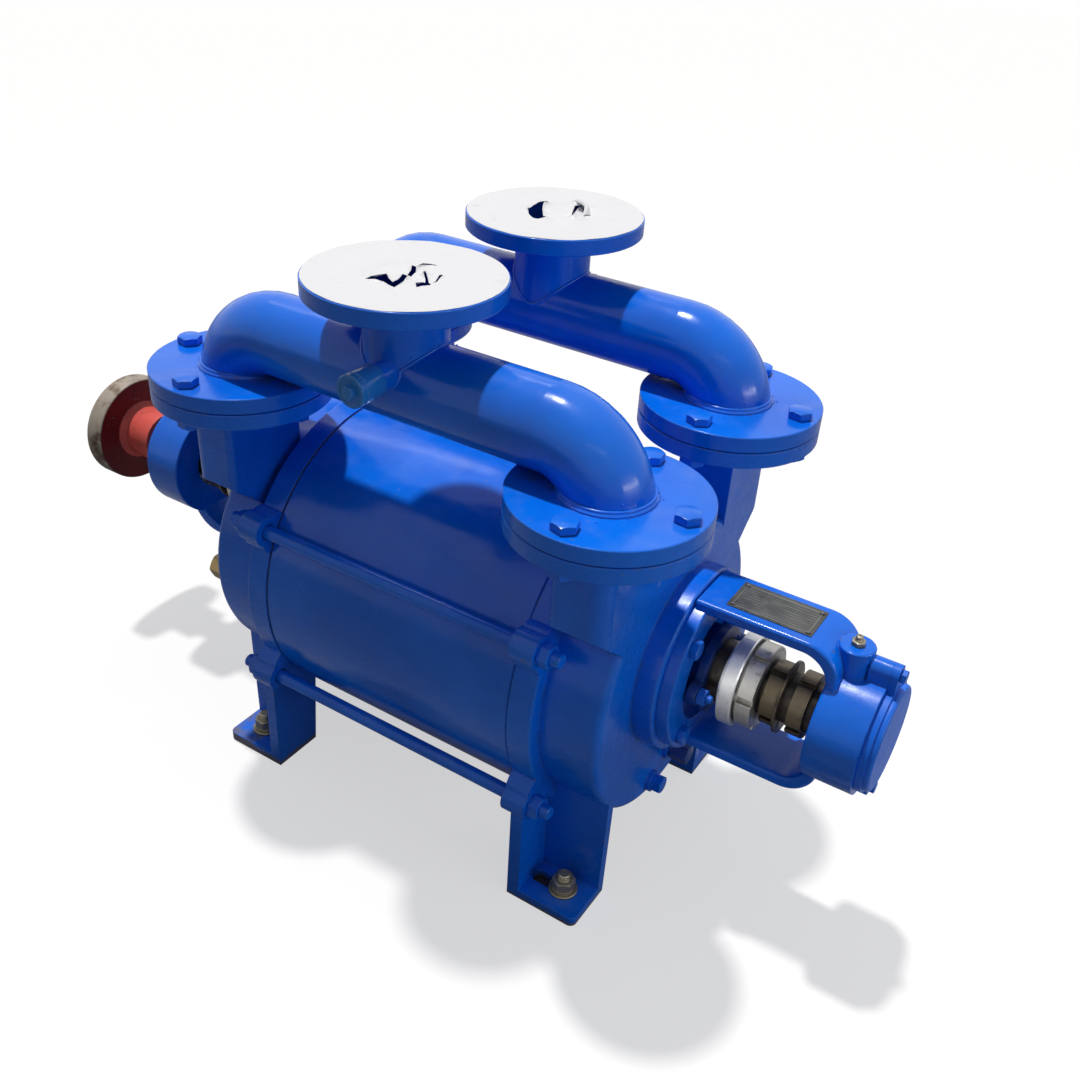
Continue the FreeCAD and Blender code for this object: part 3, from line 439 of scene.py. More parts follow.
@dataclass(frozen=True)
class CouplingPaint:
    """Red primer on the hub and back of the coupling flange, with a bare rim; the back is a much darker copy
    of the hub's red, as painted shade.
    """

    name: str = "coupling_red"
    # the hub's red primer darkened for the back of the flange: painted shade
    back: Colour = (0.135, 0.004, 0.005)
    hub: Colour = (0.68, 0.105, 0.085)
    rim: Colour = (0.33, 0.285, 0.235)
    dirt: Colour = (0.07, 0.012, 0.010)
    rust: Colour = (0.075, 0.040, 0.026)
    rim_r: float = 0.0728
    face_x: float = -0.6258
    back_x: float = -0.5985

    def build(self) -> bpy.types.Material:
        """Make the finish, laid out by distance from the shaft.

        Returns:
            The material.
        """
        s = Shader(self.name)
        normal, edges = s.edge(0.0012)
        away = s.radius_about_shaft()
        wave = s.math("MULTIPLY", s.noise(70.0, 4.0), 0.0012)
        rim = s.band(s.math("ADD", away, wave), self.rim_r, self.rim_r + 0.0008)
        face = s.band(s.axis("X"), self.face_x + 0.0003, self.face_x)
        bare = s.math("MAXIMUM", rim, face)
        chips = s.math("MULTIPLY", edges, s.band(s.noise(120.0, 4.0), 0.50, 0.58))
        bare = s.math("MAXIMUM", bare, chips)
        # painted shade: on the flange side of back_x the back of the flange takes the darker copy of the red
        # primer
        paint = s.blend(s.band(s.axis("X"), self.back_x, self.back_x + 0.0025), self.back, self.hub)
        paint = s.blend(s.band(s.noise(30.0, 5.0), 0.40, 0.75, (0.0, 0.35)), paint, self.dirt)
        low_side = s.band(s.axis("Z"), SHAFT_Z + 0.045, SHAFT_Z - 0.060, (0.0, 0.30))
        spots = s.band(s.math("ADD", s.noise(55.0, 6.0), low_side), 0.46, 0.80)
        colour = s.blend(bare, paint, s.blend(spots, self.rim, self.rust))
        rough = s.math("ADD", s.math("MULTIPLY", bare, 0.14),
                       s.band(s.noise(90.0, 3.0), 0.3, 0.8, (0.34, 0.50)))
        s.relief([(s.noise(300.0, 2.0, (5.0, 0.5, 0.5)), 0.00005), (s.noise(60.0, 4.0), 0.0002)], normal)
        s.surface.inputs["Specular IOR Level"].default_value = 0.18
        return s.finish(colour, rough, s.math("MULTIPLY", bare, 0.35), 0.05)


@dataclass(frozen=True)
class BlankPlate:
    """Dark etched plate with a plain border and ruled, empty rows."""

    name: str = "blank_plate"
    base: Colour = (0.060, 0.062, 0.060)
    line: Colour = (0.26, 0.26, 0.25)
    dust: Colour = (0.13, 0.13, 0.125)
    rows: float = 9.0
    height: float = 0.040
    centre_x: float = 0.3725

    def build(self) -> bpy.types.Material:
        """Make the plate's finish.

        Returns:
            The material.
        """
        s = Shader(self.name)
        across = s.axis("Y")
        wave = s.node("ShaderNodeMath", operation="SINE")
        s.feed(wave.inputs[0], s.math("MULTIPLY", across, 2.0 * math.pi * self.rows / self.height))
        rules = s.band(wave.outputs[0], 0.55, 0.95)
        off_x = s.math("ABSOLUTE", s.math("SUBTRACT", s.axis("X"), self.centre_x))
        off_y = s.math("ABSOLUTE", across)
        inside = s.math("MULTIPLY", s.band(off_x, 0.0425, 0.0420), s.band(off_y, 0.0215, 0.0210))
        border = s.math("MULTIPLY", inside, s.math("MAXIMUM", s.band(off_x, 0.0410, 0.0414),
                                                   s.band(off_y, 0.0198, 0.0202)))
        patchy = s.band(s.noise(140.0, 5.0, (0.3, 1.0, 1.0)), 0.35, 0.65)
        lines = s.math("MAXIMUM", border, s.math("MULTIPLY", s.math("MULTIPLY", rules, inside), patchy))
        colour = s.blend(s.math("MULTIPLY", lines, 0.55), self.base, self.line)
        dull = s.band(s.noise(45.0, 6.0), 0.42, 0.72)
        colour = s.blend(s.math("MULTIPLY", dull, 0.45), colour, self.dust)
        rough = s.band(s.noise(90.0, 4.0), 0.3, 0.7, (0.34, 0.52))
        normal, _ = s.edge(0.0004)
        s.relief([(lines, 0.00006), (s.noise(500.0, 3.0), 0.00003)], normal)
        return s.finish(colour, rough, 0.35)


@dataclass(frozen=True)
class Film:
    """White stretch film over an open flange, slightly creased and marked, with painted shade along the
    creases.
    """

    name: str = "flange_film"
    base: Colour = (0.72, 0.72, 0.745)
    mark: Colour = (0.50, 0.51, 0.56)
    # grey of the painted shade along the creases
    fold_shade: Colour = (0.62, 0.63, 0.68)

    def build(self) -> bpy.types.Material:
        """Make the film.

        Returns:
            The material.
        """
        s = Shader(self.name)
        creases = s.noise(26.0, 6.0, (1.0, 2.2, 1.0), 0.62)
        grain = s.noise(160.0, 3.0)
        marks = s.band(s.noise(34.0, 7.0, (1.5, 0.8, 1.0)), 0.60, 0.78, (0.0, 0.55))
        colour = s.blend(marks, self.base, self.mark)
        # painted shade: the film is greyed where the crease relief stands high
        colour = s.blend(s.band(creases, 0.55, 0.75, (0.0, 0.25)), colour, self.fold_shade)
        s.relief([(creases, 0.0014), (grain, 0.00010)])
        return s.finish(colour, s.band(grain, 0.3, 0.7, (0.38, 0.55)))


@dataclass(frozen=True)
class Sheet:
    """Dull sheet or braid, such as gaskets and packing."""

    name: str
    base: Colour
    scale: float = 300.0

    def build(self) -> bpy.types.Material:
        """Make the sheet's finish.

        Returns:
            The material.
        """
        s = Shader(self.name)
        fibre = s.noise(self.scale, 4.0, (2.0, 1.0, 1.0))
        colour = s.blend(s.band(fibre, 0.4, 0.7), self.base, tuple(0.6 * c for c in self.base))
        s.relief([(fibre, 0.0002)])
        return s.finish(colour, 0.8)


# ------------------------------------------------------------------- plain meshes


@dataclass(frozen=True)
class Place:
    """Where a repeated piece stands: its foot, the way it points and its turn."""

    at: Point
    axis: Point = (0.0, 0.0, 1.0)
    turn: float = 0.0


def angles(count: int, ahead: float = 0.0) -> list[float]:
    """Evenly spaced angles of a full turn, moved ahead by a share of a step."""
    return [2 * math.pi * (k + ahead) / count for k in range(count)]


def new_object(name: str, mesh: bpy.types.Mesh) -> bpy.types.Object:
    """Link a mesh to the scene.

    Args:
        name: the object's name.
        mesh: its mesh.

    Returns:
        The new object.
    """
    made = bpy.data.objects.new(name, mesh)
    bpy.context.scene.collection.objects.link(made)
    return made


def mesh_of(bm: bmesh.types.BMesh, name: str, smooth_deg: float = 35.0) -> bpy.types.Mesh:
    """Turn a bmesh into a clean mesh with outward faces.

    Args:
        bm: the bmesh, freed here.
        name: the mesh's name.
        smooth_deg: edges flatter than this are shaded smooth.

    Returns:
        The new mesh.
    """
    bmesh.ops.remove_doubles(bm, verts=bm.verts, dist=1e-6)
    bmesh.ops.recalc_face_normals(bm, faces=bm.faces)
    for face in bm.faces:
        face.smooth = True
    for line in bm.edges:
        line.smooth = line.is_manifold and line.calc_face_angle(0.0) < math.radians(smooth_deg)
    mesh = bpy.data.meshes.new(name)
    bm.to_mesh(mesh)
    bm.free()
    return mesh


def in_order(bm: bmesh.types.BMesh) -> bmesh.types.BMesh:
    """Rebuild a bmesh with its faces in a fixed order, the same each run.

    Args:
        bm: the bmesh, freed here.

    Returns:
        The new bmesh.
    """
    bm.verts.index_update()
    loops = []
    for face in bm.faces:
        ids = [vert.index for vert in face.verts]
        first = ids.index(min(ids))
        loops.append(ids[first:] + ids[:first])
    made = bmesh.new()
    verts = [made.verts.new(vert.co) for vert in bm.verts]
    for ids in sorted(loops):
        made.faces.new([verts[k] for k in ids])
    bm.free()
    return made


def turned(bm: bmesh.types.BMesh, profile: list[tuple[float, float]], steps: int = 32) -> None:
    """Add a body of revolution about Z.

    Args:
        bm: the bmesh that takes the faces.
        profile: radius and height pairs; zero radii close the ends.
        steps: segments round the axis.
    """
    rings = []
    for r, z in profile:
        if r < 1e-7:
            rings.append([bm.verts.new((0.0, 0.0, z))])
            continue
        rings.append([bm.verts.new((r * math.cos(a), r * math.sin(a), z)) for a in angles(steps)])
    for low, high in zip(rings, rings[1:]):
        for k in range(steps):
            corners = [low[k % len(low)], low[(k + 1) % len(low)],
                       high[(k + 1) % len(high)], high[k % len(high)]]
            unique = list(dict.fromkeys(corners))
            if len(unique) > 2:
                bm.faces.new(unique)


def hexagon(bm: bmesh.types.BMesh, flats: float, z0: float, z1: float, chamfer_low: bool = False,
            bore: float = 0.0, steps: int = 48) -> None:
    """Add a hexagon with turned corners, as on nuts and bolt heads.

    Args:
        bm: the bmesh that takes the faces.
        flats: width across the flats.
        z0: seat height.
        z1: top height.
        chamfer_low: turn the lower corners too.
        bore: radius of the hole, or zero for a solid head.
        steps: points round the outline.
    """
    half = flats / 2
    round_r = 0.97 * half

    def ring(kind: str) -> list[bmesh.types.BMVert]:
        """One ring of the outline.

        Args:
            kind: the name of its level.

        Returns:
            The ring's vertices.
        """
        made = []
        for a in angles(steps):
            off = (a + math.pi / 6) % (math.pi / 3) - math.pi / 6
            r = half / math.cos(off)
            drop = (r - round_r) * math.tan(math.radians(28))
            r, z = {"low": (round_r, z0), "low_edge": (r, z0 + drop), "seat": (r, z0),
                    "top_edge": (r, z1 - drop), "top": (round_r, z1),
                    "hole_top": (bore, z1), "hole_low": (bore, z0)}[kind]
            made.append(bm.verts.new((r * math.cos(a), r * math.sin(a), z)))
        return made

    levels = (["low", "low_edge"] if chamfer_low else ["seat"]) + ["top_edge", "top"]
    if bore:
        levels = ["hole_low"] + levels + ["hole_top", "hole_low"]
    rings = [ring(level) for level in levels]
    for low, high in zip(rings, rings[1:]):
        for k in range(steps):
            bm.faces.new([low[k], low[(k + 1) % steps], high[(k + 1) % steps], high[k]])
    if not bore:
        bm.faces.new(rings[0])
        bm.faces.new(rings[-1])


# --------------------------------------------------------------- geometry node trees


class Tree(Nodes):
    """A geometry node tree with named inputs, built once and run on carriers."""

    def __init__(self, name: str, inputs: dict[str, str]) -> None:
        """Start a tree.

        Args:
            name: the tree's name.
            inputs: socket type by input name, after the carrier's geometry.
        """
        super().__init__(bpy.data.node_groups.new(name, "GeometryNodeTree"))
        face = self.tree.interface
        face.new_socket("Geometry", in_out="INPUT", socket_type="NodeSocketGeometry")
        self.ids = {key: face.new_socket(key, in_out="INPUT", socket_type=kind).identifier
                    for key, kind in inputs.items()}
        self.ids["Material"] = face.new_socket("Material", in_out="INPUT",
                                               socket_type="NodeSocketMaterial").identifier
        face.new_socket("Geometry", in_out="OUTPUT", socket_type="NodeSocketGeometry")
        self.inside = self.node("NodeGroupInput")

    def given(self, name: str) -> bpy.types.NodeSocket:
        """The socket of a named input."""
        return self.inside.outputs[name]

    def named(self, name: str, kind: str) -> bpy.types.NodeSocket:
        """An attribute of the carrier's points.

        Args:
            name: the attribute's name.
            kind: its data type.

        Returns:
            The attribute's socket.
        """
        read = self.node("GeometryNodeInputNamedAttribute", data_type=kind)
        read.inputs["Name"].default_value = name
        return next(o for o in read.outputs if o.enabled and o.name == "Attribute")

    def close(self, geometry: bpy.types.NodeSocket) -> None:
        """End the tree: realize the instances and set the material.

        Args:
            geometry: the tree's last geometry.
        """
        real = self.node("GeometryNodeRealizeInstances")
        self.feed(real.inputs[0], geometry)
        dress = self.node("GeometryNodeSetMaterial")
        self.feed(dress.inputs["Geometry"], real.outputs[0])
        self.feed(dress.inputs["Material"], self.given("Material"))
        self.feed(self.node("NodeGroupOutput").inputs[0], dress.outputs[0])

    def run(self, carrier: bpy.types.Object, name: str, **values: object) -> bpy.types.Object:
        """Run the tree on a carrier and keep the result as a plain mesh.

        Args:
            carrier: the object whose mesh goes in; it is removed.
            name: the new piece's name.
            values: input values by name.

        Returns:
            The new piece.
        """
        work = carrier.modifiers.new("nodes", "NODES")
        work.node_group = self.tree
        for key, value in values.items():
            work[self.ids[key]] = value
        bpy.context.view_layer.update()
        graph = bpy.context.evaluated_depsgraph_get()
        mesh = bpy.data.meshes.new_from_object(carrier.evaluated_get(graph))
        mesh.name = name
        carrier.modifiers.remove(work)
        bpy.data.objects.remove(carrier)
        return new_object(name, mesh)


class FastenerPattern(Tree):
    """Stands one fastener on every point of a carrier, along its axis."""

    def __init__(self) -> None:
        """Build the tree."""
        super().__init__("fastener_pattern", {"Fastener": "NodeSocketObject"})
        points = self.node("GeometryNodeMeshToPoints")
        self.feed(points.inputs["Mesh"], self.given("Geometry"))
        aim = self.node("FunctionNodeAlignRotationToVector", axis="Z")
        self.feed(aim.inputs["Vector"], self.named("axis", "FLOAT_VECTOR"))
        twist = self.node("FunctionNodeAxisAngleToRotation")
        twist.inputs["Axis"].default_value = (0.0, 0.0, 1.0)
        self.feed(twist.inputs["Angle"], self.named("turn", "FLOAT"))
        turn = self.node("FunctionNodeRotateRotation", rotation_space="LOCAL")
        self.feed(turn.inputs["Rotation"], aim.outputs[0])
        self.feed(turn.inputs["Rotate By"], twist.outputs[0])
        shape = self.node("GeometryNodeObjectInfo", transform_space="ORIGINAL")
        self.feed(shape.inputs["Object"], self.given("Fastener"))
        stand = self.node("GeometryNodeInstanceOnPoints")
        self.feed(stand.inputs["Points"], points.outputs[0])
        self.feed(stand.inputs["Instance"], shape.outputs["Geometry"])
        self.feed(stand.inputs["Rotation"], turn.outputs[0])
        self.close(stand.outputs[0])

    def lay(self, name: str, shape: bpy.types.Mesh, places: list[Place],
            finish: bpy.types.Material) -> bpy.types.Object:
        """Repeat a fastener.

        Args:
            name: the piece's name.
            shape: the fastener's mesh, foot at the origin, along +Z.
            places: where each one stands.
            finish: its material.

        Returns:
            The piece with all of them.
        """
        dots = bpy.data.meshes.new(name + "_points")
        dots.from_pydata([p.at for p in places], [], [])
        dots.attributes.new("axis", "FLOAT_VECTOR", "POINT").data.foreach_set(
            "vector", [c for p in places for c in p.axis])
        dots.attributes.new("turn", "FLOAT", "POINT").data.foreach_set(
            "value", [p.turn for p in places])
        pattern = new_object(name + "_source", shape)
        made = self.run(new_object(name + "_carrier", dots), name, Fastener=pattern, Material=finish)
        bpy.data.objects.remove(pattern)
        return made


class ThreadSweep(Tree):
    """Winds a screw thread ridge up the Z axis."""

    def __init__(self) -> None:
        """Build the tree."""
        super().__init__("thread_sweep", {"Radius": "NodeSocketFloat", "Pitch": "NodeSocketFloat",
                                          "Turns": "NodeSocketFloat", "Depth": "NodeSocketFloat"})
        rise = self.math("MULTIPLY", self.given("Pitch"), self.given("Turns"))
        wind = self.node("GeometryNodeCurveSpiral")
        wind.inputs["Resolution"].default_value = 20
        self.feed(wind.inputs["Rotations"], self.given("Turns"))
        self.feed(wind.inputs["Start Radius"], self.given("Radius"))
        self.feed(wind.inputs["End Radius"], self.given("Radius"))
        self.feed(wind.inputs["Height"], rise)
        ridge = self.node("GeometryNodeCurvePrimitiveCircle")
        ridge.inputs["Resolution"].default_value = 4
        self.feed(ridge.inputs["Radius"], self.given("Depth"))
        sweep = self.node("GeometryNodeCurveToMesh")
        sweep.inputs["Fill Caps"].default_value = True
        self.feed(sweep.inputs["Curve"], wind.outputs[0])
        self.feed(sweep.inputs["Profile Curve"], ridge.outputs[0])
        self.close(sweep.outputs[0])

    def wind(self, bm: bmesh.types.BMesh, radius: float, pitch: float, z0: float, z1: float) -> None:
        """Add a thread to a bmesh.

        Args:
            bm: the bmesh that takes the faces.
            radius: radius of the bolt's core.
            pitch: rise of one turn.
            z0: where the thread starts.
            z1: where it ends.
        """
        carrier = new_object("thread_carrier", bpy.data.meshes.new("thread_carrier"))
        made = self.run(carrier, "thread", Radius=radius, Pitch=pitch, Turns=(z1 - z0) / pitch,
                        Depth=0.42 * pitch)
        start = len(bm.verts)
        bm.from_mesh(made.data)
        bm.verts.ensure_lookup_table()
        bmesh.ops.translate(bm, verts=bm.verts[start:], vec=(0.0, 0.0, z0))
        bpy.data.objects.remove(made)


class WeldBead(Tree):
    """Sweeps a rippled bead along the edge loop of a carrier."""

    def __init__(self) -> None:
        """Build the tree."""
        super().__init__("weld_bead", {"Bead": "NodeSocketFloat", "Ripple": "NodeSocketFloat",
                                       "Stitches": "NodeSocketInt", "Seed": "NodeSocketFloat"})
        path = self.node("GeometryNodeMeshToCurve")
        self.feed(path.inputs["Mesh"], self.given("Geometry"))
        even = self.node("GeometryNodeResampleCurve")
        self.feed(even.inputs["Curve"], path.outputs[0])
        self.feed(even.inputs["Count"], self.given("Stitches"))
        cells = self.node("ShaderNodeTexNoise", noise_dimensions="4D")
        self.feed(cells.inputs["Vector"], self.node("GeometryNodeInputPosition").outputs[0])
        self.feed(cells.inputs["W"], self.given("Seed"))
        cells.inputs["Scale"].default_value = 170.0
        swell = self.math("MULTIPLY", cells.outputs["Fac"], self.given("Ripple"))
        thick = self.node("GeometryNodeSetCurveRadius")
        self.feed(thick.inputs["Curve"], even.outputs[0])
        self.feed(thick.inputs["Radius"], self.math("ADD", swell, 0.7))
        round_bead = self.node("GeometryNodeCurvePrimitiveCircle")
        round_bead.inputs["Resolution"].default_value = 10
        self.feed(round_bead.inputs["Radius"], self.given("Bead"))
        sweep = self.node("GeometryNodeCurveToMesh")
        self.feed(sweep.inputs["Curve"], thick.outputs[0])
        self.feed(sweep.inputs["Profile Curve"], round_bead.outputs[0])
        smooth = self.node("GeometryNodeSetShadeSmooth")
        self.feed(smooth.inputs[0], sweep.outputs[0])
        self.close(smooth.outputs[0])

    def lay(self, name: str, paths: list[list[Point]], bead: float,
            finish: bpy.types.Material) -> bpy.types.Object:
        """Run a bead along closed paths.

        Args:
            name: the piece's name.
            paths: the points of each closed loop.
            bead: the bead's radius.
            finish: its material.

        Returns:
            The piece with every bead.
        """
        points: list[Point] = []
        lines: list[tuple[int, int]] = []
        for path in paths:
            first = len(points)
            points += path
            lines += [(first + k, first + (k + 1) % len(path)) for k in range(len(path))]
        mesh = bpy.data.meshes.new(name + "_path")
        mesh.from_pydata(points, lines, [])
        return self.run(new_object(name + "_carrier", mesh), name, Bead=bead, Ripple=0.75, Stitches=150,
                        Seed=3.7, Material=finish)


class WeldSpatter(Tree):
    """Scatters small round beads of spatter over a surface near a path."""

    def __init__(self) -> None:
        """Build the tree."""
        super().__init__("weld_spatter", {"Surface": "NodeSocketObject", "Count": "NodeSocketInt",
                                          "Spread": "NodeSocketFloat", "Size": "NodeSocketFloat",
                                          "Seed": "NodeSocketInt"})
        path = self.node("GeometryNodeMeshToCurve")
        self.feed(path.inputs["Mesh"], self.given("Geometry"))
        dots = self.node("GeometryNodeCurveToPoints")
        self.feed(dots.inputs["Curve"], path.outputs[0])
        self.feed(dots.inputs["Count"], self.given("Count"))
        stray = self.node("FunctionNodeRandomValue", data_type="FLOAT_VECTOR")
        stray.inputs[0].default_value = (-1.0, -1.0, -1.0)
        self.feed(stray.inputs["Seed"], self.given("Seed"))
        reach = self.node("ShaderNodeVectorMath", operation="SCALE")
        self.feed(reach.inputs[0], stray.outputs[0])
        self.feed(reach.inputs["Scale"], self.given("Spread"))
        moved = self.node("GeometryNodeSetPosition")
        self.feed(moved.inputs["Geometry"], dots.outputs[0])
        self.feed(moved.inputs["Offset"], reach.outputs[0])
        skin = self.node("GeometryNodeObjectInfo", transform_space="ORIGINAL")
        self.feed(skin.inputs["Object"], self.given("Surface"))
        near = self.node("GeometryNodeProximity", target_element="FACES")
        self.feed(near.inputs[0], skin.outputs["Geometry"])
        landed = self.node("GeometryNodeSetPosition")
        self.feed(landed.inputs["Geometry"], moved.outputs[0])
        self.feed(landed.inputs["Position"], near.outputs["Position"])
        ball = self.node("GeometryNodeMeshIcoSphere")
        ball.inputs["Subdivisions"].default_value = 2
        self.feed(ball.inputs["Radius"], self.given("Size"))
        vary = self.node("FunctionNodeRandomValue", data_type="FLOAT")
        vary.inputs[2].default_value = 0.35
        vary.inputs[3].default_value = 1.0
        self.feed(vary.inputs["Seed"], self.given("Seed"))
        stand = self.node("GeometryNodeInstanceOnPoints")
        self.feed(stand.inputs["Points"], landed.outputs[0])
        self.feed(stand.inputs["Instance"], ball.outputs[0])
        self.feed(stand.inputs["Scale"], vary.outputs[1])
        smooth = self.node("GeometryNodeSetShadeSmooth")
        self.feed(smooth.inputs[0], stand.outputs[0])
        self.close(smooth.outputs[0])

    def throw(self, name: str, path: list[Point], surface: bpy.types.Object, count: int,
              finish: bpy.types.Material) -> bpy.types.Object:
        """Scatter beads round one closed path.

        Args:
            name: the piece's name.
            path: the points of the loop.
            surface: the object that the beads land on.
            count: how many beads.
            finish: their material.

        Returns:
            The piece with the beads.
        """
        mesh = bpy.data.meshes.new(name + "_path")
        mesh.from_pydata(path, [(k, (k + 1) % len(path)) for k in range(len(path))], [])
        return self.run(new_object(name + "_carrier", mesh), name, Surface=surface, Count=count,
                        Spread=0.011, Size=0.0011, Seed=11, Material=finish)


# ----------------------------------------------------------------------- workshop


class Workshop:
    """The finishes and node trees that the sub-assemblies share."""

    def __init__(self) -> None:
        """Make every finish once."""
        self.casting = Enamel("blue_casting").build()
        self.feet_casting = Enamel("blue_feet_casting", under=(0.150, 0.128, 0.098),
                                   bare_feet=True).build()
        self.barrel = Enamel("blue_barrel", gloss=0.20, wear=0.7).build()
        self.pipe = Enamel("blue_pipe", rounding=0.0012, gloss=0.20, wear=0.6).build()
        self.small = Enamel("blue_small", rounding=0.0008, gloss=0.30, wear=1.2).build()
        self.cap_paint = Enamel("blue_cap", rounding=0.0012, gloss=0.46, wear=0.8).build()
        # a lighter, greener copy of the blue enamel with grey metal at many chips: the chips are wear, the
        # lighter tone is painted sheen standing in for the stub's reflections
        self.stub_paint_and_sheen = Enamel("blue_stub_and_sheen", base=(0.006, 0.190, 0.700), deep=(0.030, 0.200, 0.520),
                                 under=(0.30, 0.33, 0.38), rounding=0.0007, gloss=0.20, wear=1.6).build()
        # a darker copy of the blue enamel for the glands and one plug; on the plug low on the front cover it
        # is painted shade
        self.dark_paint = Enamel("blue_darkened", base=(0.003, 0.060, 0.330), deep=(0.002, 0.030, 0.170),
                                 wear=1.6, gloss=0.30).build()
        self.oily = BareMetal("oily_shaft_steel", (0.085, 0.070, 0.055), rust=0.75, rough=0.34, metal=0.55,
                              stain=(0.020, 0.014, 0.010)).build()
        self.steel = BareMetal("turned_steel", (0.40, 0.39, 0.37), rust=0.55, rough=0.38).build()
        self.ground = BareMetal("ground_steel", (0.60, 0.60, 0.60), rust=0.05, rough=0.22).build()
        self.grey_ring = BareMetal("grey_ring", (0.66, 0.64, 0.58), rust=0.38, rough=0.42, metal=0.80,
                                   stain=(0.10, 0.075, 0.05), marks_depth=0.0001).build()
        self.pale_ring = BareMetal("pale_ring", (0.92, 0.92, 0.89), rust=0.12, rough=0.40, metal=0.80,
                                   stain=(0.22, 0.19, 0.15), marks_depth=0.0001).build()
        self.brown_nut = BareMetal("brown_nut", (0.17, 0.135, 0.085), rust=0.5, rough=0.36, metal=0.70,
                                   stain=(0.030, 0.018, 0.010)).build()
        self.zinc = BareMetal("dull_zinc", (0.30, 0.27, 0.20), rust=0.45, rough=0.42, metal=0.7,
                              stain=(0.06, 0.045, 0.03)).build()
        self.brass = BareMetal("dull_brass", (0.30, 0.22, 0.10), rust=0.6, rough=0.42,
                               stain=(0.06, 0.042, 0.022)).build()
        self.cast = BareMetal("machined_cast_iron", (0.30, 0.30, 0.30), rust=0.3, rough=0.45).build()
        self.coupling = CouplingPaint().build()
        self.plate = BlankPlate().build()
        self.film = Film().build()
        self.gasket = Sheet("gasket_sheet", (0.035, 0.035, 0.038)).build()
        self.braid = Sheet("packing_braid", (0.30, 0.26, 0.19), 500.0).build()
        self.fasteners = FastenerPattern()
        self.threads = ThreadSweep()
        self.welds = WeldBead()
        self.spatter = WeldSpatter()

    def stand(self, name: str, shape: bpy.types.Mesh, places: list[Place],
              finish: bpy.types.Material, slot: Slot, *stands_for: str) -> None:
        """Repeat a fastener on the stator.

        Args:
            name: the piece's name.
            shape: the fastener's mesh.
            places: where each one stands.
            finish: its material.
            slot: the record's material slot.
            stands_for: CAD nodes that it replaces.
        """
        seat(self.fasteners.lay(name, shape, places, finish), Body.STATOR, slot, *stands_for)


def seat(piece: bpy.types.Object, body: Body, slot: Slot, *stands_for: str) -> None:
    """Ride a piece on its body and hide the CAD nodes that it stands for.

    Args:
        piece: the finished piece.
        body: the body it rides on.
        slot: the record's material slot; not used.
        stands_for: CAD nodes that it replaces.
    """
    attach(piece, body.value)
    if stands_for:
        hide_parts(*stands_for)
    LOG.info("piece %s: %d faces", piece.name, len(piece.data.polygons))


def circle(centre: Point, radius: float, steps: int = 96) -> list[Point]:
    """Points of a level circle.

    Args:
        centre: its centre.
        radius: its radius.
        steps: how many points.

    Returns:
        The points, in order.
    """
    x, y, z = centre
    return [(x + radius * math.cos(a), y + radius * math.sin(a), z) for a in angles(steps)]


# -------------------------------------------------------------------- sub-assemblies


@dataclass
class FrameNodes:
    """Finishes of the CAD nodes that show as they are."""

    nodes: dict[str, bpy.types.Object]
    shop: Workshop

    def dress(self) -> None:
        """Give every CAD node its finish."""
        shop = self.shop
        table = {
            "body_casing": shop.barrel, "front_cover": shop.feet_casting, "rear_cover": shop.feet_casting,
            "front_bracket": shop.casting, "rear_bracket": shop.casting, "front_end_cap": shop.cap_paint,
            "rear_end_cap": shop.cap_paint, "suction_manifold": shop.pipe, "discharge_manifold": shop.pipe,
            "gauge_plug": shop.small, "tie_rods": shop.small, "tie_rod_nuts": shop.small,
            "neck_bolts": shop.small, "bracket_bolts": shop.small, "cap_screws": shop.small,
            "front_cover_plugs": shop.small, "rear_cover_plugs": shop.brass, "glands": shop.dark_paint,
            "gland_studs": shop.small, "grease_nipples": shop.zinc, "rating_plate": shop.plate,
            "coupling_half": shop.coupling, "shaft": shop.oily, "shaft_sleeves": shop.oily,
            "shaft_keys": shop.steel, "slinger_rings": shop.pale_ring, "sleeve_nuts": shop.grey_ring,
            "lock_nuts": shop.brown_nut, "lock_washers": shop.brown_nut, "impeller": shop.cast,
            "front_port_plate": shop.cast, "rear_port_plate": shop.cast, "cover_gaskets": shop.gasket,
            "neck_gaskets": shop.gasket, "packing_rings": shop.braid,
        }
        for name, node in self.nodes.items():
            finish = table.get(name, shop.ground)
            if not node.material_slots:
                node.data.materials.append(finish)
            for place in node.material_slots:
                place.material = finish
        LOG.info("dressed %d CAD nodes", len(self.nodes))


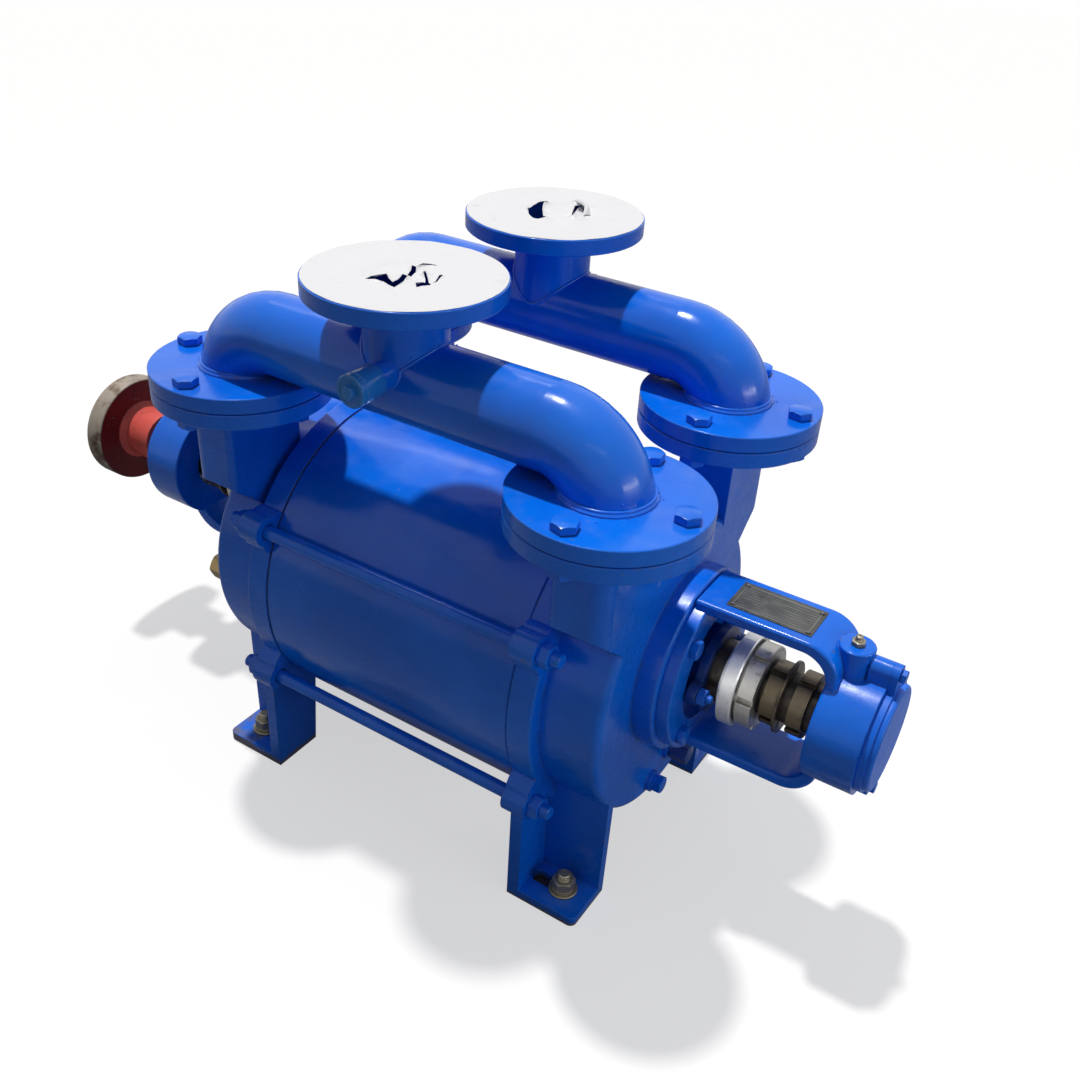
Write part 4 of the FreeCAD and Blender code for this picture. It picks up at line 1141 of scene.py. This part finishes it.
@dataclass
class Fasteners:
    """Hexagon bolts, nuts and studs with turned corners and threads."""

    shop: Workshop
    neck_pitch_r: float = 0.080
    shank_r: float = 0.008
    neck_flats: float = 0.024
    rod_x: float = 0.200
    rod_y: float = 0.178
    rod_heights: tuple[float, float] = (0.358, 0.149)
    bracket_x: float = 0.311
    bracket_pitch_r: float = 0.083
    cap_x: float = 0.508
    front_cap_r: float = 0.068
    rear_cap_r: float = 0.075
    gland_x: float = 0.324
    gland_y: float = 0.055
    slot_x: float = 0.220
    slot_y: float = 0.152
    slot_half: float = 0.018
    slot_r: float = 0.0084
    anchor_x: float = 0.234
    anchor_r: float = 0.0072
    foot_top: float = 0.012

    def bolt(self, name: str, flats: float, head: float, shank: float, radius: float) -> bpy.types.Mesh:
        """A bolt whose head sits on z = 0 and whose shank hangs below.

        Args:
            name: the mesh's name.
            flats: width across the flats.
            head: the head's height.
            shank: length below the head.
            radius: the shank's radius.

        Returns:
            The mesh.
        """
        seat_r = 0.46 * flats
        bm = bmesh.new()
        hexagon(bm, flats, z0=0.0006, z1=head)
        turned(bm, [(0.0, 0.0), (seat_r, 0.0), (seat_r, 0.0007), (0.0, 0.0007)])
        turned(bm, [(0.0, 0.0008), (radius, 0.0008), (radius, 0.001 - shank), (radius - 0.001, -shank),
                    (0.0, -shank)], 24)
        return mesh_of(bm, name)

    def nut(self, name: str, flats: float, height: float, radius: float, end: float) -> bpy.types.Mesh:
        """A nut on z = 0 with the threaded end of its bolt standing out.

        Args:
            name: the mesh's name.
            flats: width across the flats.
            height: the nut's height.
            radius: the thread's outer radius.
            end: how far the bolt's end stands above the seat.

        Returns:
            The mesh.
        """
        bm = bmesh.new()
        hexagon(bm, flats, z0=0.0, z1=height, chamfer_low=True, bore=radius + 0.0001)
        core = radius - 0.0008
        turned(bm, [(0.0, 0.001), (core, 0.001), (core, end - 0.001), (core - 0.001, end), (0.0, end)], 24)
        self.shop.threads.wind(bm, core, pitch=0.0018, z0=height - 0.002, z1=end - 0.002)
        return mesh_of(bm, name)

    def neck_spots(self) -> list[tuple[float, float]]:
        """Bolt places of the front neck joint on the +Y side; the last is under the pipe.

        Returns:
            X and Y of each place.
        """
        r = self.neck_pitch_r
        return [(NECK_X + r, PORT_Y), (NECK_X, PORT_Y + r), (NECK_X, PORT_Y - r), (NECK_X - r, PORT_Y)]

    def neck_joints(self) -> None:
        """Bolts and nuts that hold the manifolds on the four necks."""
        spots = self.neck_spots()
        heads = [Place((sx * x, sy * y, FLANGE_TOP), (0, 0, 1), 0.4 + 0.9 * k)
                 for k, (x, y) in enumerate(spots[:-1]) for sx, sy in CORNERS]
        nuts = [Place((p.at[0], p.at[1], FLANGE_LOW), (0, 0, -1), 1.3 * p.turn) for p in heads]
        x, y = spots[-1]
        below = [Place((sx * x, sy * y, FLANGE_LOW), (0, 0, -1), 0.3) for sx, sy in CORNERS]
        bolt = self.bolt("neck_bolt", self.neck_flats, head=0.009, shank=0.034, radius=self.shank_r)
        nut = self.nut("neck_nut", self.neck_flats, height=0.012, radius=self.shank_r, end=0.016)
        self.shop.stand("neck_bolt_heads", bolt, heads + below, self.shop.small, Slot.BOLT, "neck_bolts")
        self.shop.stand("neck_bolt_nuts", nut, nuts, self.shop.small, Slot.BOLT)

    def tie_rod_nuts(self) -> None:
        """Nuts at both ends of the four tie rods."""
        nut = self.nut("rod_nut", flats=0.024, height=0.013, radius=0.0082, end=0.0135)
        ends = [(sx, sy, z) for sx, sy in CORNERS for z in self.rod_heights]
        places = [Place((sx * self.rod_x, sy * self.rod_y, z), (sx, 0, 0), 0.5 * k)
                  for k, (sx, sy, z) in enumerate(ends)]
        self.shop.stand("tie_rod_nut_set", nut, places, self.shop.small, Slot.PAINT, "tie_rod_nuts")

    def bracket_bolts(self) -> None:
        """Four bolts that hold each bearing bracket."""
        reach = self.bracket_pitch_r * math.sqrt(0.5)
        bolt = self.bolt("bracket_bolt", flats=0.019, head=0.008, shank=0.034, radius=0.006)
        places = [Place((sx * self.bracket_x, sy * reach, SHAFT_Z + sz * reach), (sx, 0, 0),
                        0.7 * sy + 0.4 * sz) for sx, sy in CORNERS for sz in SIDES]
        self.shop.stand("bracket_bolt_set", bolt, places, self.shop.small, Slot.BOLT, "bracket_bolts")

    def cap_screws(self) -> None:
        """Two screws in the ears of each bearing end cap."""
        bolt = self.bolt("cap_screw", flats=0.013, head=0.006, shank=0.022, radius=0.004)
        places = [Place((sx * self.cap_x, 0.0, SHAFT_Z + z), (sx, 0, 0), 0.3)
                  for sx, r in ((1, self.front_cap_r), (-1, self.rear_cap_r))
                  for z in (r + 0.012, -r - 0.001)]
        self.shop.stand("cap_screw_set", bolt, places, self.shop.small, Slot.BOLT, "cap_screws")

    def gland_studs(self) -> None:
        """Studs and nuts that press the glands in."""
        nut = self.nut("gland_nut", flats=0.017, height=0.009, radius=0.005, end=0.015)
        places = [Place((sx * self.gland_x, sy * self.gland_y, SHAFT_Z), (sx, 0, 0), 0.6 * sy)
                  for sx, sy in CORNERS]
        self.shop.stand("gland_stud_set", nut, places, self.shop.small, Slot.STUD, "gland_studs")

    def anchors(self) -> None:
        """Anchor studs with nuts and wide washers in the foot slots."""
        r = self.anchor_r
        hole = r + 0.001
        bm = bmesh.new()
        turned(bm, [(hole, 0.0), (0.0165, 0.0), (0.0170, 0.0005), (0.0170, 0.0025), (0.0165, 0.003),
                    (hole, 0.003), (hole, 0.0)], 40)
        turned(bm, [(hole, 0.003), (0.0130, 0.003), (0.0134, 0.0045), (0.0130, 0.006), (hole, 0.006),
                    (hole, 0.003)], 40)
        turned(bm, [(0.0, -0.0115), (r, -0.0115), (r, 0.025), (r - 0.0012, 0.0262), (0.0, 0.0262)], 24)
        hexagon(bm, flats=0.024, z0=0.006, z1=0.018, chamfer_low=True, bore=0.0078)
        self.shop.threads.wind(bm, r, pitch=0.0020, z0=0.016, z1=0.024)
        mesh = mesh_of(bm, "anchor")
        # dark flat heads in the foot slots: painted shade
        self.slot_shade_plates()
        places = [Place((sx * self.anchor_x, sy * self.slot_y, self.foot_top), (0, 0, 1),
                        0.5 + sx * 0.3 + sy * 0.8) for sx, sy in CORNERS]
        self.shop.stand("anchor_studs", mesh, places, self.shop.zinc, Slot.STUD)

    def slot_shade_plates(self) -> None:
        """Long flat heads of the anchor studs, low in the slots of the feet, dark so that the slots read
        dark: painted shade.
        """
        bm = bmesh.new()
        outline = [(self.slot_half * e + self.slot_r * math.cos(a), self.slot_r * math.sin(a))
                   for e, start in ((1, -90), (-1, 90))
                   for a in (math.radians(start + 15 * k) for k in range(13))]
        for sx, sy in CORNERS:
            rings = [[bm.verts.new((sx * self.slot_x + x * k, sy * self.slot_y + y * k, z))
                      for x, y in outline]
                     for k, z in ((1.0, 0.0002), (1.0, 0.0030), (0.93, 0.0036))]
            bm.faces.new(rings[0])
            bm.faces.new(rings[-1])
            for low, high in zip(rings, rings[1:]):
                for k in range(len(outline)):
                    n = (k + 1) % len(outline)
                    bm.faces.new([low[k], low[n], high[n], high[k]])
        # painted shade: a dark piece that darkens the slots
        piece = new_object("anchor_heads", mesh_of(bm, "anchor_heads"))
        piece.data.materials.append(self.shop.brown_nut)
        seat(piece, Body.STATOR, Slot.STUD)

    def build(self) -> None:
        """Make every pattern of the stator's fasteners."""
        self.neck_joints()
        self.tie_rod_nuts()
        self.bracket_bolts()
        self.cap_screws()
        self.gland_studs()
        self.anchors()


@dataclass
class Manifolds:
    """Weld beads on the pipes and torn film over the open flanges."""

    nodes: dict[str, bpy.types.Object]
    shop: Workshop
    pipe_r: float = 0.0445
    branch_r: float = 0.043
    film_r: float = 0.0985
    film_z: float = BRANCH_TOP
    film_thick: float = 0.00025
    film_rings: int = 58
    bore_r: float = 0.039
    elbow_x: float = NECK_X - 0.0032
    elbow_z: float = FLANGE_TOP + 0.0042
    elbow_r: float = 0.0452
    collar_z: float = 0.6664
    socket_r: float = 0.015
    weld_r: float = 0.0019
    spatter_beads: int = 46
    film_step: float = 0.0026
    tear_gap: float = 0.0009
    tears: dict[int, list[list[tuple[float, float]]]] = field(default_factory=lambda: {
        -1: [[(-19, -36), (-17, -29), (-11, -23), (-12, -17), (-8, -18), (-1, -23), (4, -24), (3, -15),
              (0, -4), (2, 0), (0, 8), (-5, 16), (-1, 18), (5, 9), (7, 0), (10, -9), (13, -18),
              (13, -27), (15, -35), (9, -33), (0, -32), (-8, -34), (-14, -36)],
             [(27, -19), (29, -12), (29, -7), (22, 2), (14, 9), (15, 12), (22, 6), (31, -4), (35, -5),
              (37, -11), (34, -18), (32, -24)],
             [(-1.5, 19.5), (-2, 29), (2, 36), (8, 38), (9, 37), (3.5, 34), (0, 27)],
             [(34.5, -3.5), (33, 4), (30, 13), (31, 17), (32.5, 15), (33, 11), (35.5, 3)]],
        1: [[(-27, -16), (-32, -3), (-33, 6), (-32, 16), (-30, 24), (-27, 27), (-25, 24), (-25, 16),
             (-21, 7), (-12, -8), (-1, -23), (5, -27), (6, -32), (1, -37), (-7, -35), (-17, -28)],
            [(23, -3), (13, 15), (9, 27), (9, 35), (13, 35), (22, 29), (31, 21), (35, 17), (34, 12),
             (30, 15), (24, 23), (17, 29), (14, 27), (16, 17), (22, 4), (25, -4)]]})
    flap_start: tuple[float, float] = (0.006, 0.037)
    flap_end: tuple[float, float] = (0.037, 0.015)
    flap_inward: tuple[float, float] = (-0.58, -0.81)
    flap_height: float = 0.0115
    flap_curl: float = 2.3
    curl_height: float = 0.0045
    curl_reach: float = 0.0035
    sag: float = 0.0014

    def saddle(self, side: int) -> list[Point]:
        """The joint line of a branch on its level pipe.

        Args:
            side: sign of the manifold on Y.

        Returns:
            The points of the line, in order.
        """
        made = []
        for a in angles(120):
            across = self.branch_r * math.sin(a)
            made.append((BRANCH_X + self.branch_r * math.cos(a), side * PORT_Y + across,
                         PIPE_Z + math.sqrt(self.pipe_r ** 2 - across ** 2)))
        return made

    def elbow(self, end: int, side: int) -> list[Point]:
        """The joint line of an elbow on its flange.

        Args:
            end: sign of the elbow on X.
            side: sign of the manifold on Y.

        Returns:
            The points of the line, in order.
        """
        return circle((end * self.elbow_x, side * PORT_Y, self.elbow_z), self.elbow_r)

    def socket(self) -> list[Point]:
        """The joint line of the gauge socket on its pipe.

        Returns:
            The points of the line, in order.
        """
        made = []
        for a in angles(60):
            x, z = SOCKET_X + self.socket_r * math.cos(a), SOCKET_Z + self.socket_r * math.sin(a)
            made.append((x, -PORT_Y - math.sqrt(max(self.pipe_r ** 2 - (z - PIPE_Z) ** 2, 0.0)), z))
        return made

    def welds(self) -> None:
        """Beads at the branches, under their flanges, on the elbows and at the socket."""
        shop = self.shop
        paths: list[list[Point]] = []
        for side in SIDES:
            paths.append(self.saddle(side))
            paths.append(circle((BRANCH_X, side * PORT_Y, self.collar_z), self.branch_r + 0.001))
            paths += [self.elbow(end, side) for end in SIDES]
        paths.append(self.socket())
        seat(shop.welds.lay("weld_beads", paths, self.weld_r, shop.pipe), Body.STATOR, Slot.PAINT)
        for side, kind in ((-1, "suction"), (1, "discharge")):
            skin = self.nodes[kind + "_manifold"]
            for place, path in (("rear", self.elbow(-1, side)), ("saddle", self.saddle(side)),
                                ("front", self.elbow(1, side))):
                beads = shop.spatter.throw(f"spatter_{kind}_{place}", path, skin, self.spatter_beads,
                                           shop.pipe)
                seat(beads, Body.STATOR, Slot.PAINT)

    def film(self, name: str, side: int) -> None:
        """A film disc over one flange, torn open over the bore.

        Args:
            name: the piece's name.
            side: sign of the flange on Y, which also picks the tears.
        """
        tears = [[Vector((x / 1000, y / 1000)) for x, y in tear] for tear in self.tears[side]]
        points: list[Vector] = []
        lines: list[tuple[int, int]] = []
        for tear in tears:
            first = len(points)
            points += tear
            lines += [(first + k, first + (k + 1) % len(tear)) for k in range(len(tear))]
        for ring in range(self.film_rings):
            r = self.film_r * ((ring + 1) / self.film_rings) ** 0.85
            count = max(8, int(2 * math.pi * r / self.film_step))
            spots = [Vector((r * math.cos(a), r * math.sin(a))) for a in angles(count, 0.5 * (ring % 2))]
            points += [p for p in spots if self.to_tears(p, tears) > self.tear_gap]
        verts, _, faces, *_ = delaunay_2d_cdt(points, lines, [], 0, 1e-7)
        bm = bmesh.new()
        grid = [bm.verts.new((BRANCH_X + p.x, side * PORT_Y + p.y, self.film_z + self.lift(p, tears, side)))
                for p in verts]
        for face in faces:
            centre = sum((verts[k] for k in face), Vector((0.0, 0.0))) / len(face)
            if not any(self.inside(centre, tear) for tear in tears):
                bm.faces.new([grid[k] for k in face])
        bmesh.ops.delete(bm, geom=[v for v in bm.verts if not v.link_faces], context="VERTS")
        bmesh.ops.recalc_face_normals(bm, faces=bm.faces)
        if sum(face.normal.z for face in bm.faces) < 0:
            bmesh.ops.reverse_faces(bm, faces=bm.faces)
        self.skin(name, bm)

    def skin(self, name: str, bm: bmesh.types.BMesh) -> None:
        """Give a sheet of film its thickness and seat it.

        Args:
            name: the piece's name.
            bm: the sheet, freed here.
        """
        bmesh.ops.solidify(bm, geom=list(bm.faces), thickness=self.film_thick)
        piece = new_object(name, mesh_of(in_order(bm), name, 60.0))
        piece.data.materials.append(self.shop.film)
        seat(piece, Body.STATOR, Slot.PAINT)

    def to_tears(self, spot: Vector, tears: list[list[Vector]]) -> float:
        """Distance of a point from the nearest corner of a tear."""
        return min((spot - corner).length for tear in tears for corner in tear)

    def inside(self, spot: Vector, tear: list[Vector]) -> bool:
        """Whether a point lies inside a tear's outline.

        Args:
            spot: the point on the disc.
            tear: the outline's corners, in order.

        Returns:
            True inside.
        """
        hit = False
        for a, b in zip(tear, tear[1:] + tear[:1]):
            if (a.y > spot.y) != (b.y > spot.y):
                cross_x = (b.x - a.x) * (spot.y - a.y) / (b.y - a.y) + a.x
                hit = hit != (spot.x < cross_x)
        return hit

    def lift(self, spot: Vector, tears: list[list[Vector]], side: int) -> float:
        """Height of the film above the flange: creases, and edges curled up at the tears.

        Args:
            spot: the point on the disc.
            tears: the outlines of the tears.
            side: sign of the flange on Y.

        Returns:
            The height in metres.
        """
        r = spot.length
        over_bore = min(1.0, max(0.0, (self.bore_r + 0.002 - r) / 0.010))
        crease = math.sin(95 * spot.x + 60 * spot.y) * math.sin(80 * spot.y - 50 * spot.x + side)
        lean = 0.5 + 0.5 * math.sin(5.0 * math.atan2(spot.y, spot.x) + 1.5 * side)
        fade = math.exp(-self.to_tears(spot, tears) / self.curl_reach)
        curl = self.curl_height * fade * lean * over_bore
        sag = -self.sag * over_bore
        return 0.0003 + 0.00025 * (1.0 + crease) * min(1.0, r / 0.03) + curl + sag

    def flap(self) -> None:
        """A tongue of torn film that stands up and curls over at the far flange."""
        steps, folds = 16, 12
        bm = bmesh.new()
        start, end, inward = (Vector(v) for v in (self.flap_start, self.flap_end, self.flap_inward))
        rows = []
        for i in range(steps + 1):
            s = i / steps
            foot = start.lerp(end, s) - inward * 0.0045 * math.sin(math.pi * s)
            tall = (self.flap_height * math.sin(math.pi * (0.15 + 0.83 * s)) ** 0.7
                    + 0.0007 * math.sin(9.0 * s))
            row = []
            for k in range(folds + 1):
                turn = self.flap_curl * k / folds
                spot = foot + inward * (0.0052 + 0.0010 * math.sin(7.0 * s)) * (1.0 - math.cos(turn))
                row.append(bm.verts.new((BRANCH_X + spot.x, PORT_Y + spot.y,
                                         self.film_z + tall * math.sin(turn))))
            rows.append(row)
        for a, b in zip(rows, rows[1:]):
            for k in range(folds):
                bm.faces.new([a[k], a[k + 1], b[k + 1], b[k]])
        bmesh.ops.recalc_face_normals(bm, faces=bm.faces)
        self.skin("discharge_film_flap", bm)

    def build(self) -> None:
        """Make the welds and both films."""
        self.welds()
        self.film("suction_flange_film", -1)
        self.film("discharge_flange_film", 1)
        self.flap()


@dataclass
class SmallFittings:
    """Grease nipples, the covers' plugs, the gauge stub and the coupling's pin ends."""

    shop: Workshop
    nipple_x: float = 0.460
    nipple_z: float = 0.379
    plug_x: float = 0.277
    stub_y: float = -0.1925
    pin_x: float = -0.5982
    pin_pitch_r: float = 0.056

    def nipples(self) -> None:
        """Turned grease nipples with hexagon, cone and ball head."""
        bm = bmesh.new()
        hexagon(bm, flats=0.013, z0=0.0, z1=0.0050)
        turned(bm, [(0.0, -0.007), (0.0040, -0.007), (0.0040, 0.0050), (0.0042, 0.0056), (0.0032, 0.0066),
                    (0.0030, 0.0072), (0.0038, 0.0082), (0.0040, 0.0092), (0.0034, 0.0104), (0.0016, 0.0110),
                    (0.0012, 0.0100), (0.0, 0.0098)], 24)
        places = [Place((sx * self.nipple_x, 0.0, self.nipple_z), (0, 0, 1), 0.2) for sx in SIDES]
        self.shop.stand("grease_nipple_set", mesh_of(bm, "nipple"), places, self.shop.zinc, Slot.BRASS,
                        "grease_nipples")

    def plug(self, name: str, flats: float, height: float) -> bpy.types.Mesh:
        """A plug on z = 0: round collar and turned hexagon head.

        Args:
            name: the mesh's name.
            flats: width across the flats.
            height: the head's height.

        Returns:
            The mesh.
        """
        collar_r = 0.5 * flats
        bm = bmesh.new()
        turned(bm, [(0.0, 0.0), (collar_r, 0.0), (collar_r, 0.0022), (0.47 * flats, 0.003), (0.0, 0.003)], 40)
        hexagon(bm, 0.96 * flats, z0=0.0028, z1=height)
        turned(bm, [(0.0, 0.001), (0.0079, 0.001), (0.0079, -0.011), (0.0, -0.011)], 24)
        return mesh_of(bm, name)

    def plugs(self) -> None:
        """The plugs in the faces of both covers."""
        shop = self.shop
        x = self.plug_x
        for name, flats, height, place, finish, slot, *node in (
                ("front_low_plug", 0.020, 0.012, Place((x, -0.030, 0.110), (1, 0, 0), 0.4), shop.small,
                 Slot.PAINT, "front_cover_plugs"),
                # painted shade: this plug takes the darker copy of the blue enamel
                ("front_dark_plug", 0.0232, 0.023, Place((x, 0.011, 0.133), (1, 0, 0), 0.9),
                 shop.dark_paint, Slot.BRASS),
                ("rear_large_plug", 0.031, 0.023, Place((-x, -0.143, 0.244), (-1, 0, 0), 0.1), shop.brass,
                 Slot.BRASS, "rear_cover_plugs"),
                ("rear_low_plug", 0.0232, 0.017, Place((-x, 0.011, 0.133), (-1, 0, 0), 0.5), shop.small,
                 Slot.PAINT)):
            shop.stand(name, self.plug(name, flats, height), [place], finish, slot, *node)

    def pin_ends(self) -> None:
        """Painted-over pin ends, flush in the back of the coupling flange."""
        bm = bmesh.new()
        turned(bm, [(0.0, -0.004), (0.0078, -0.004), (0.0078, -0.0002), (0.0074, 0.0002), (0.0, 0.0003)], 40)
        r = self.pin_pitch_r
        places = [Place((self.pin_x, r * math.cos(a), SHAFT_Z + r * math.sin(a)), (1, 0, 0))
                  for a in angles(6, 0.5)]
        ends = self.shop.fasteners.lay("coupling_pin_ends", mesh_of(bm, "pin_end"), places,
                                       self.shop.coupling)
        seat(ends, Body.ROTOR, Slot.PAINT)

    def gauge_stub(self) -> None:
        """The thick capped stub of the gauge port, with a groove and a hexagon in its end."""
        bm = bmesh.new()
        turned(bm, [(0.0118, 0.0), (0.0164, 0.0), (0.0168, 0.0008), (0.0168, 0.0262), (0.0160, 0.0270),
                    (0.0160, 0.0284), (0.0168, 0.0292), (0.0168, 0.0330), (0.0158, 0.0342), (0.0126, 0.0342),
                    (0.0120, 0.0334), (0.0, 0.0334)], 48)
        hexagon(bm, flats=0.013, z0=0.0332, z1=0.0386)
        place = Place((SOCKET_X, self.stub_y, SOCKET_Z), (0, -1, 0), 0.35)
        # its finish is the lighter stub paint: partly painted sheen
        self.shop.stand("gauge_stub", mesh_of(bm, "gauge_stub"), [place], self.shop.stub_paint_and_sheen,
                        Slot.PAINT, "gauge_plug")

    def build(self) -> None:
        """Make all small fittings."""
        self.nipples()
        self.plugs()
        self.gauge_stub()
        self.pin_ends()


@dataclass(frozen=True)
class Strip:
    """A long soft lamp that hangs at one point and faces another; its power is in watts."""

    name: str
    at: Point
    toward: Point
    power: float
    length: float = 1.8
    width: float = 0.16

    def hang(self) -> None:
        """Put the lamp in the scene."""
        data = bpy.data.lights.new(self.name, "AREA")
        data.shape = "RECTANGLE"
        data.size = self.length
        data.size_y = self.width
        data.energy = self.power
        lamp = bpy.data.objects.new(self.name, data)
        lamp.location = self.at
        lamp.rotation_mode = "QUATERNION"
        lamp.rotation_quaternion = (Vector(self.toward) - Vector(self.at)).to_track_quat("-Z", "Y")
        bpy.context.scene.collection.objects.link(lamp)


@dataclass
class Studio:
    """White floor, ceiling light, strip lamps and the photograph's camera."""

    eye: Point = (0.6536, -0.9496, 1.0588)
    azimuth: float = 31.0
    elevation: float = 32.4
    roll: float = 3.5
    lens: float = 37.95
    sun_way: Point = (0.25, -0.11, -1.0)
    sun_strength: float = 2.95
    sun_angle: float = 3.0
    sun_colour: Colour = (1.0, 0.985, 0.96)
    strips: tuple[Strip, ...] = (Strip("far_strip", (-1.6, 1.2, 2.6), (0.0, 0.0, 0.3), 4.0),
                                 Strip("near_strip", (1.9, -1.9, 2.6), (0.1, 0.0, 0.3), 2.0),
                                 Strip("front_strip", (2.6, 0.0, 0.9), (0.3, 0.0, 0.2), 13.0))
    sky_colour: Colour = (0.93, 0.96, 1.0)
    zenith: float = 0.27
    horizon: float = 0.06
    floor_keep: float = 0.42
    floor_mirrored: float = 0.09
    floor_half: float = 9.0
    floor_lit: Colour = (0.22, 0.22, 0.23)
    floor_white: Colour = (0.90, 0.90, 0.90)

    def camera(self) -> None:
        """Put the camera where the photograph was taken."""
        az, el, roll = (math.radians(v) for v in (self.azimuth, self.elevation, self.roll))
        back = Vector((math.sin(az) * math.cos(el), -math.cos(az) * math.cos(el), math.sin(el)))
        level = Vector((math.cos(az), math.sin(az), 0.0))
        rise = back.cross(level)
        right = math.cos(roll) * level + math.sin(roll) * rise
        up = -math.sin(roll) * level + math.cos(roll) * rise
        data = bpy.data.cameras.new("photo_camera")
        data.lens = self.lens
        data.sensor_width = 36.0
        data.clip_start = 0.01
        data.clip_end = 50.0
        eye = bpy.data.objects.new("photo_camera", data)
        eye.matrix_world = Matrix.Translation(self.eye) @ Matrix((right, up, back)).transposed().to_4x4()
        bpy.context.scene.collection.objects.link(eye)
        bpy.context.scene.camera = eye

    def lights(self) -> None:
        """A ceiling lamp, long soft lamps for the streaks in the gloss, and an even room."""
        data = bpy.data.lights.new("ceiling_light", "SUN")
        data.energy = self.sun_strength
        data.angle = math.radians(self.sun_angle)
        data.color = self.sun_colour
        lamp = bpy.data.objects.new("ceiling_light", data)
        lamp.rotation_mode = "QUATERNION"
        lamp.rotation_quaternion = Vector(self.sun_way).to_track_quat("-Z", "Y")
        bpy.context.scene.collection.objects.link(lamp)
        for strip in self.strips:
            strip.hang()
        self.room()

    def room(self) -> None:
        """World light: brighter overhead, and plain white where it is seen or mirrored."""
        world = bpy.data.worlds.new("white_room")
        world.use_nodes = True
        bpy.context.scene.world = world
        w = Nodes(world.node_tree)
        split = w.node("ShaderNodeSeparateXYZ")
        w.feed(split.inputs[0], w.node("ShaderNodeTexCoord").outputs["Generated"])
        fade = w.node("ShaderNodeMapRange")
        for name, number in zip(("From Min", "From Max", "To Min", "To Max"),
                                (0.0, 0.9, self.horizon, self.zenith)):
            w.feed(fade.inputs[name], number)
        w.feed(fade.inputs["Value"], split.outputs["Z"])
        sky = w.tree.nodes["Background"]
        w.feed(sky.inputs["Color"], self.sky_colour)
        w.feed(sky.inputs["Strength"], fade.outputs["Result"])
        plain = w.node("ShaderNodeBackground")
        w.feed(plain.inputs["Color"], WHITE)
        w.feed(plain.inputs["Strength"], 1.0)
        pick = w.node("ShaderNodeMixShader")
        w.feed(pick.inputs[0], self.seen(w, 1.0))
        w.feed(pick.inputs[1], sky.outputs[0])
        w.feed(pick.inputs[2], plain.outputs[0])
        w.feed(w.tree.nodes["World Output"].inputs[0], pick.outputs[0])

    def seen(self, work: Nodes, mirrored: float) -> bpy.types.NodeSocket:
        """One where the camera sees a thing straight or through glass, and a share in a mirror.

        Args:
            work: the node tree that gets the nodes.
            mirrored: the share for mirror rays.

        Returns:
            The mask socket.
        """
        rays = work.node("ShaderNodeLightPath")
        last = work.math("MULTIPLY", rays.outputs["Is Glossy Ray"], mirrored)
        for ray in ("Is Camera Ray", "Is Transmission Ray"):
            last = work.math("MAXIMUM", rays.outputs[ray], last)
        return last

    def floor(self) -> None:
        """A pale floor, white to the camera, that keeps the pump's shadow."""
        mesh = bpy.data.meshes.new("floor")
        corners = [(self.floor_half * x, self.floor_half * y, -0.0005)
                   for x, y in ((-1, -1), (1, -1), (1, 1), (-1, 1))]
        mesh.from_pydata(corners, [], [(0, 1, 2, 3)])
        ground = new_object("floor", mesh)
        s = Shader("pale_floor")
        seen = self.seen(s, self.floor_mirrored)
        s.finish(s.blend(seen, self.floor_lit, self.floor_white), 0.9)
        s.feed(s.surface.inputs["Specular IOR Level"], 0.0)
        glow = s.node("ShaderNodeEmission")
        s.feed(glow.inputs["Strength"], 1.0)
        s.feed(glow.inputs["Color"], WHITE)
        share = s.node("ShaderNodeMixShader")
        s.feed(share.inputs[0], s.math("MULTIPLY", seen, 1.0 - self.floor_keep))
        s.feed(share.inputs[1], s.surface.outputs[0])
        s.feed(share.inputs[2], glow.outputs[0])
        s.feed(s.tree.nodes["Material Output"].inputs["Surface"], share.outputs[0])
        ground.data.materials.append(s.material)

    def build(self) -> None:
        """Set up camera, lights and floor."""
        bpy.context.scene.view_settings.view_transform = "Standard"
        self.camera()
        self.lights()
        self.floor()
        LOG.info("studio ready")


def main() -> None:
    """Build the pump's looks in order."""
    logging.basicConfig(level=logging.INFO, format="%(message)s")
    Studio().build()
    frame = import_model()
    shop = Workshop()
    FrameNodes(frame["nodes"], shop).dress()
    Fasteners(shop).build()
    Manifolds(frame["nodes"], shop).build()
    SmallFittings(shop).build()
    bpy.context.view_layer.update()


if __name__ == "__main__":
    main()
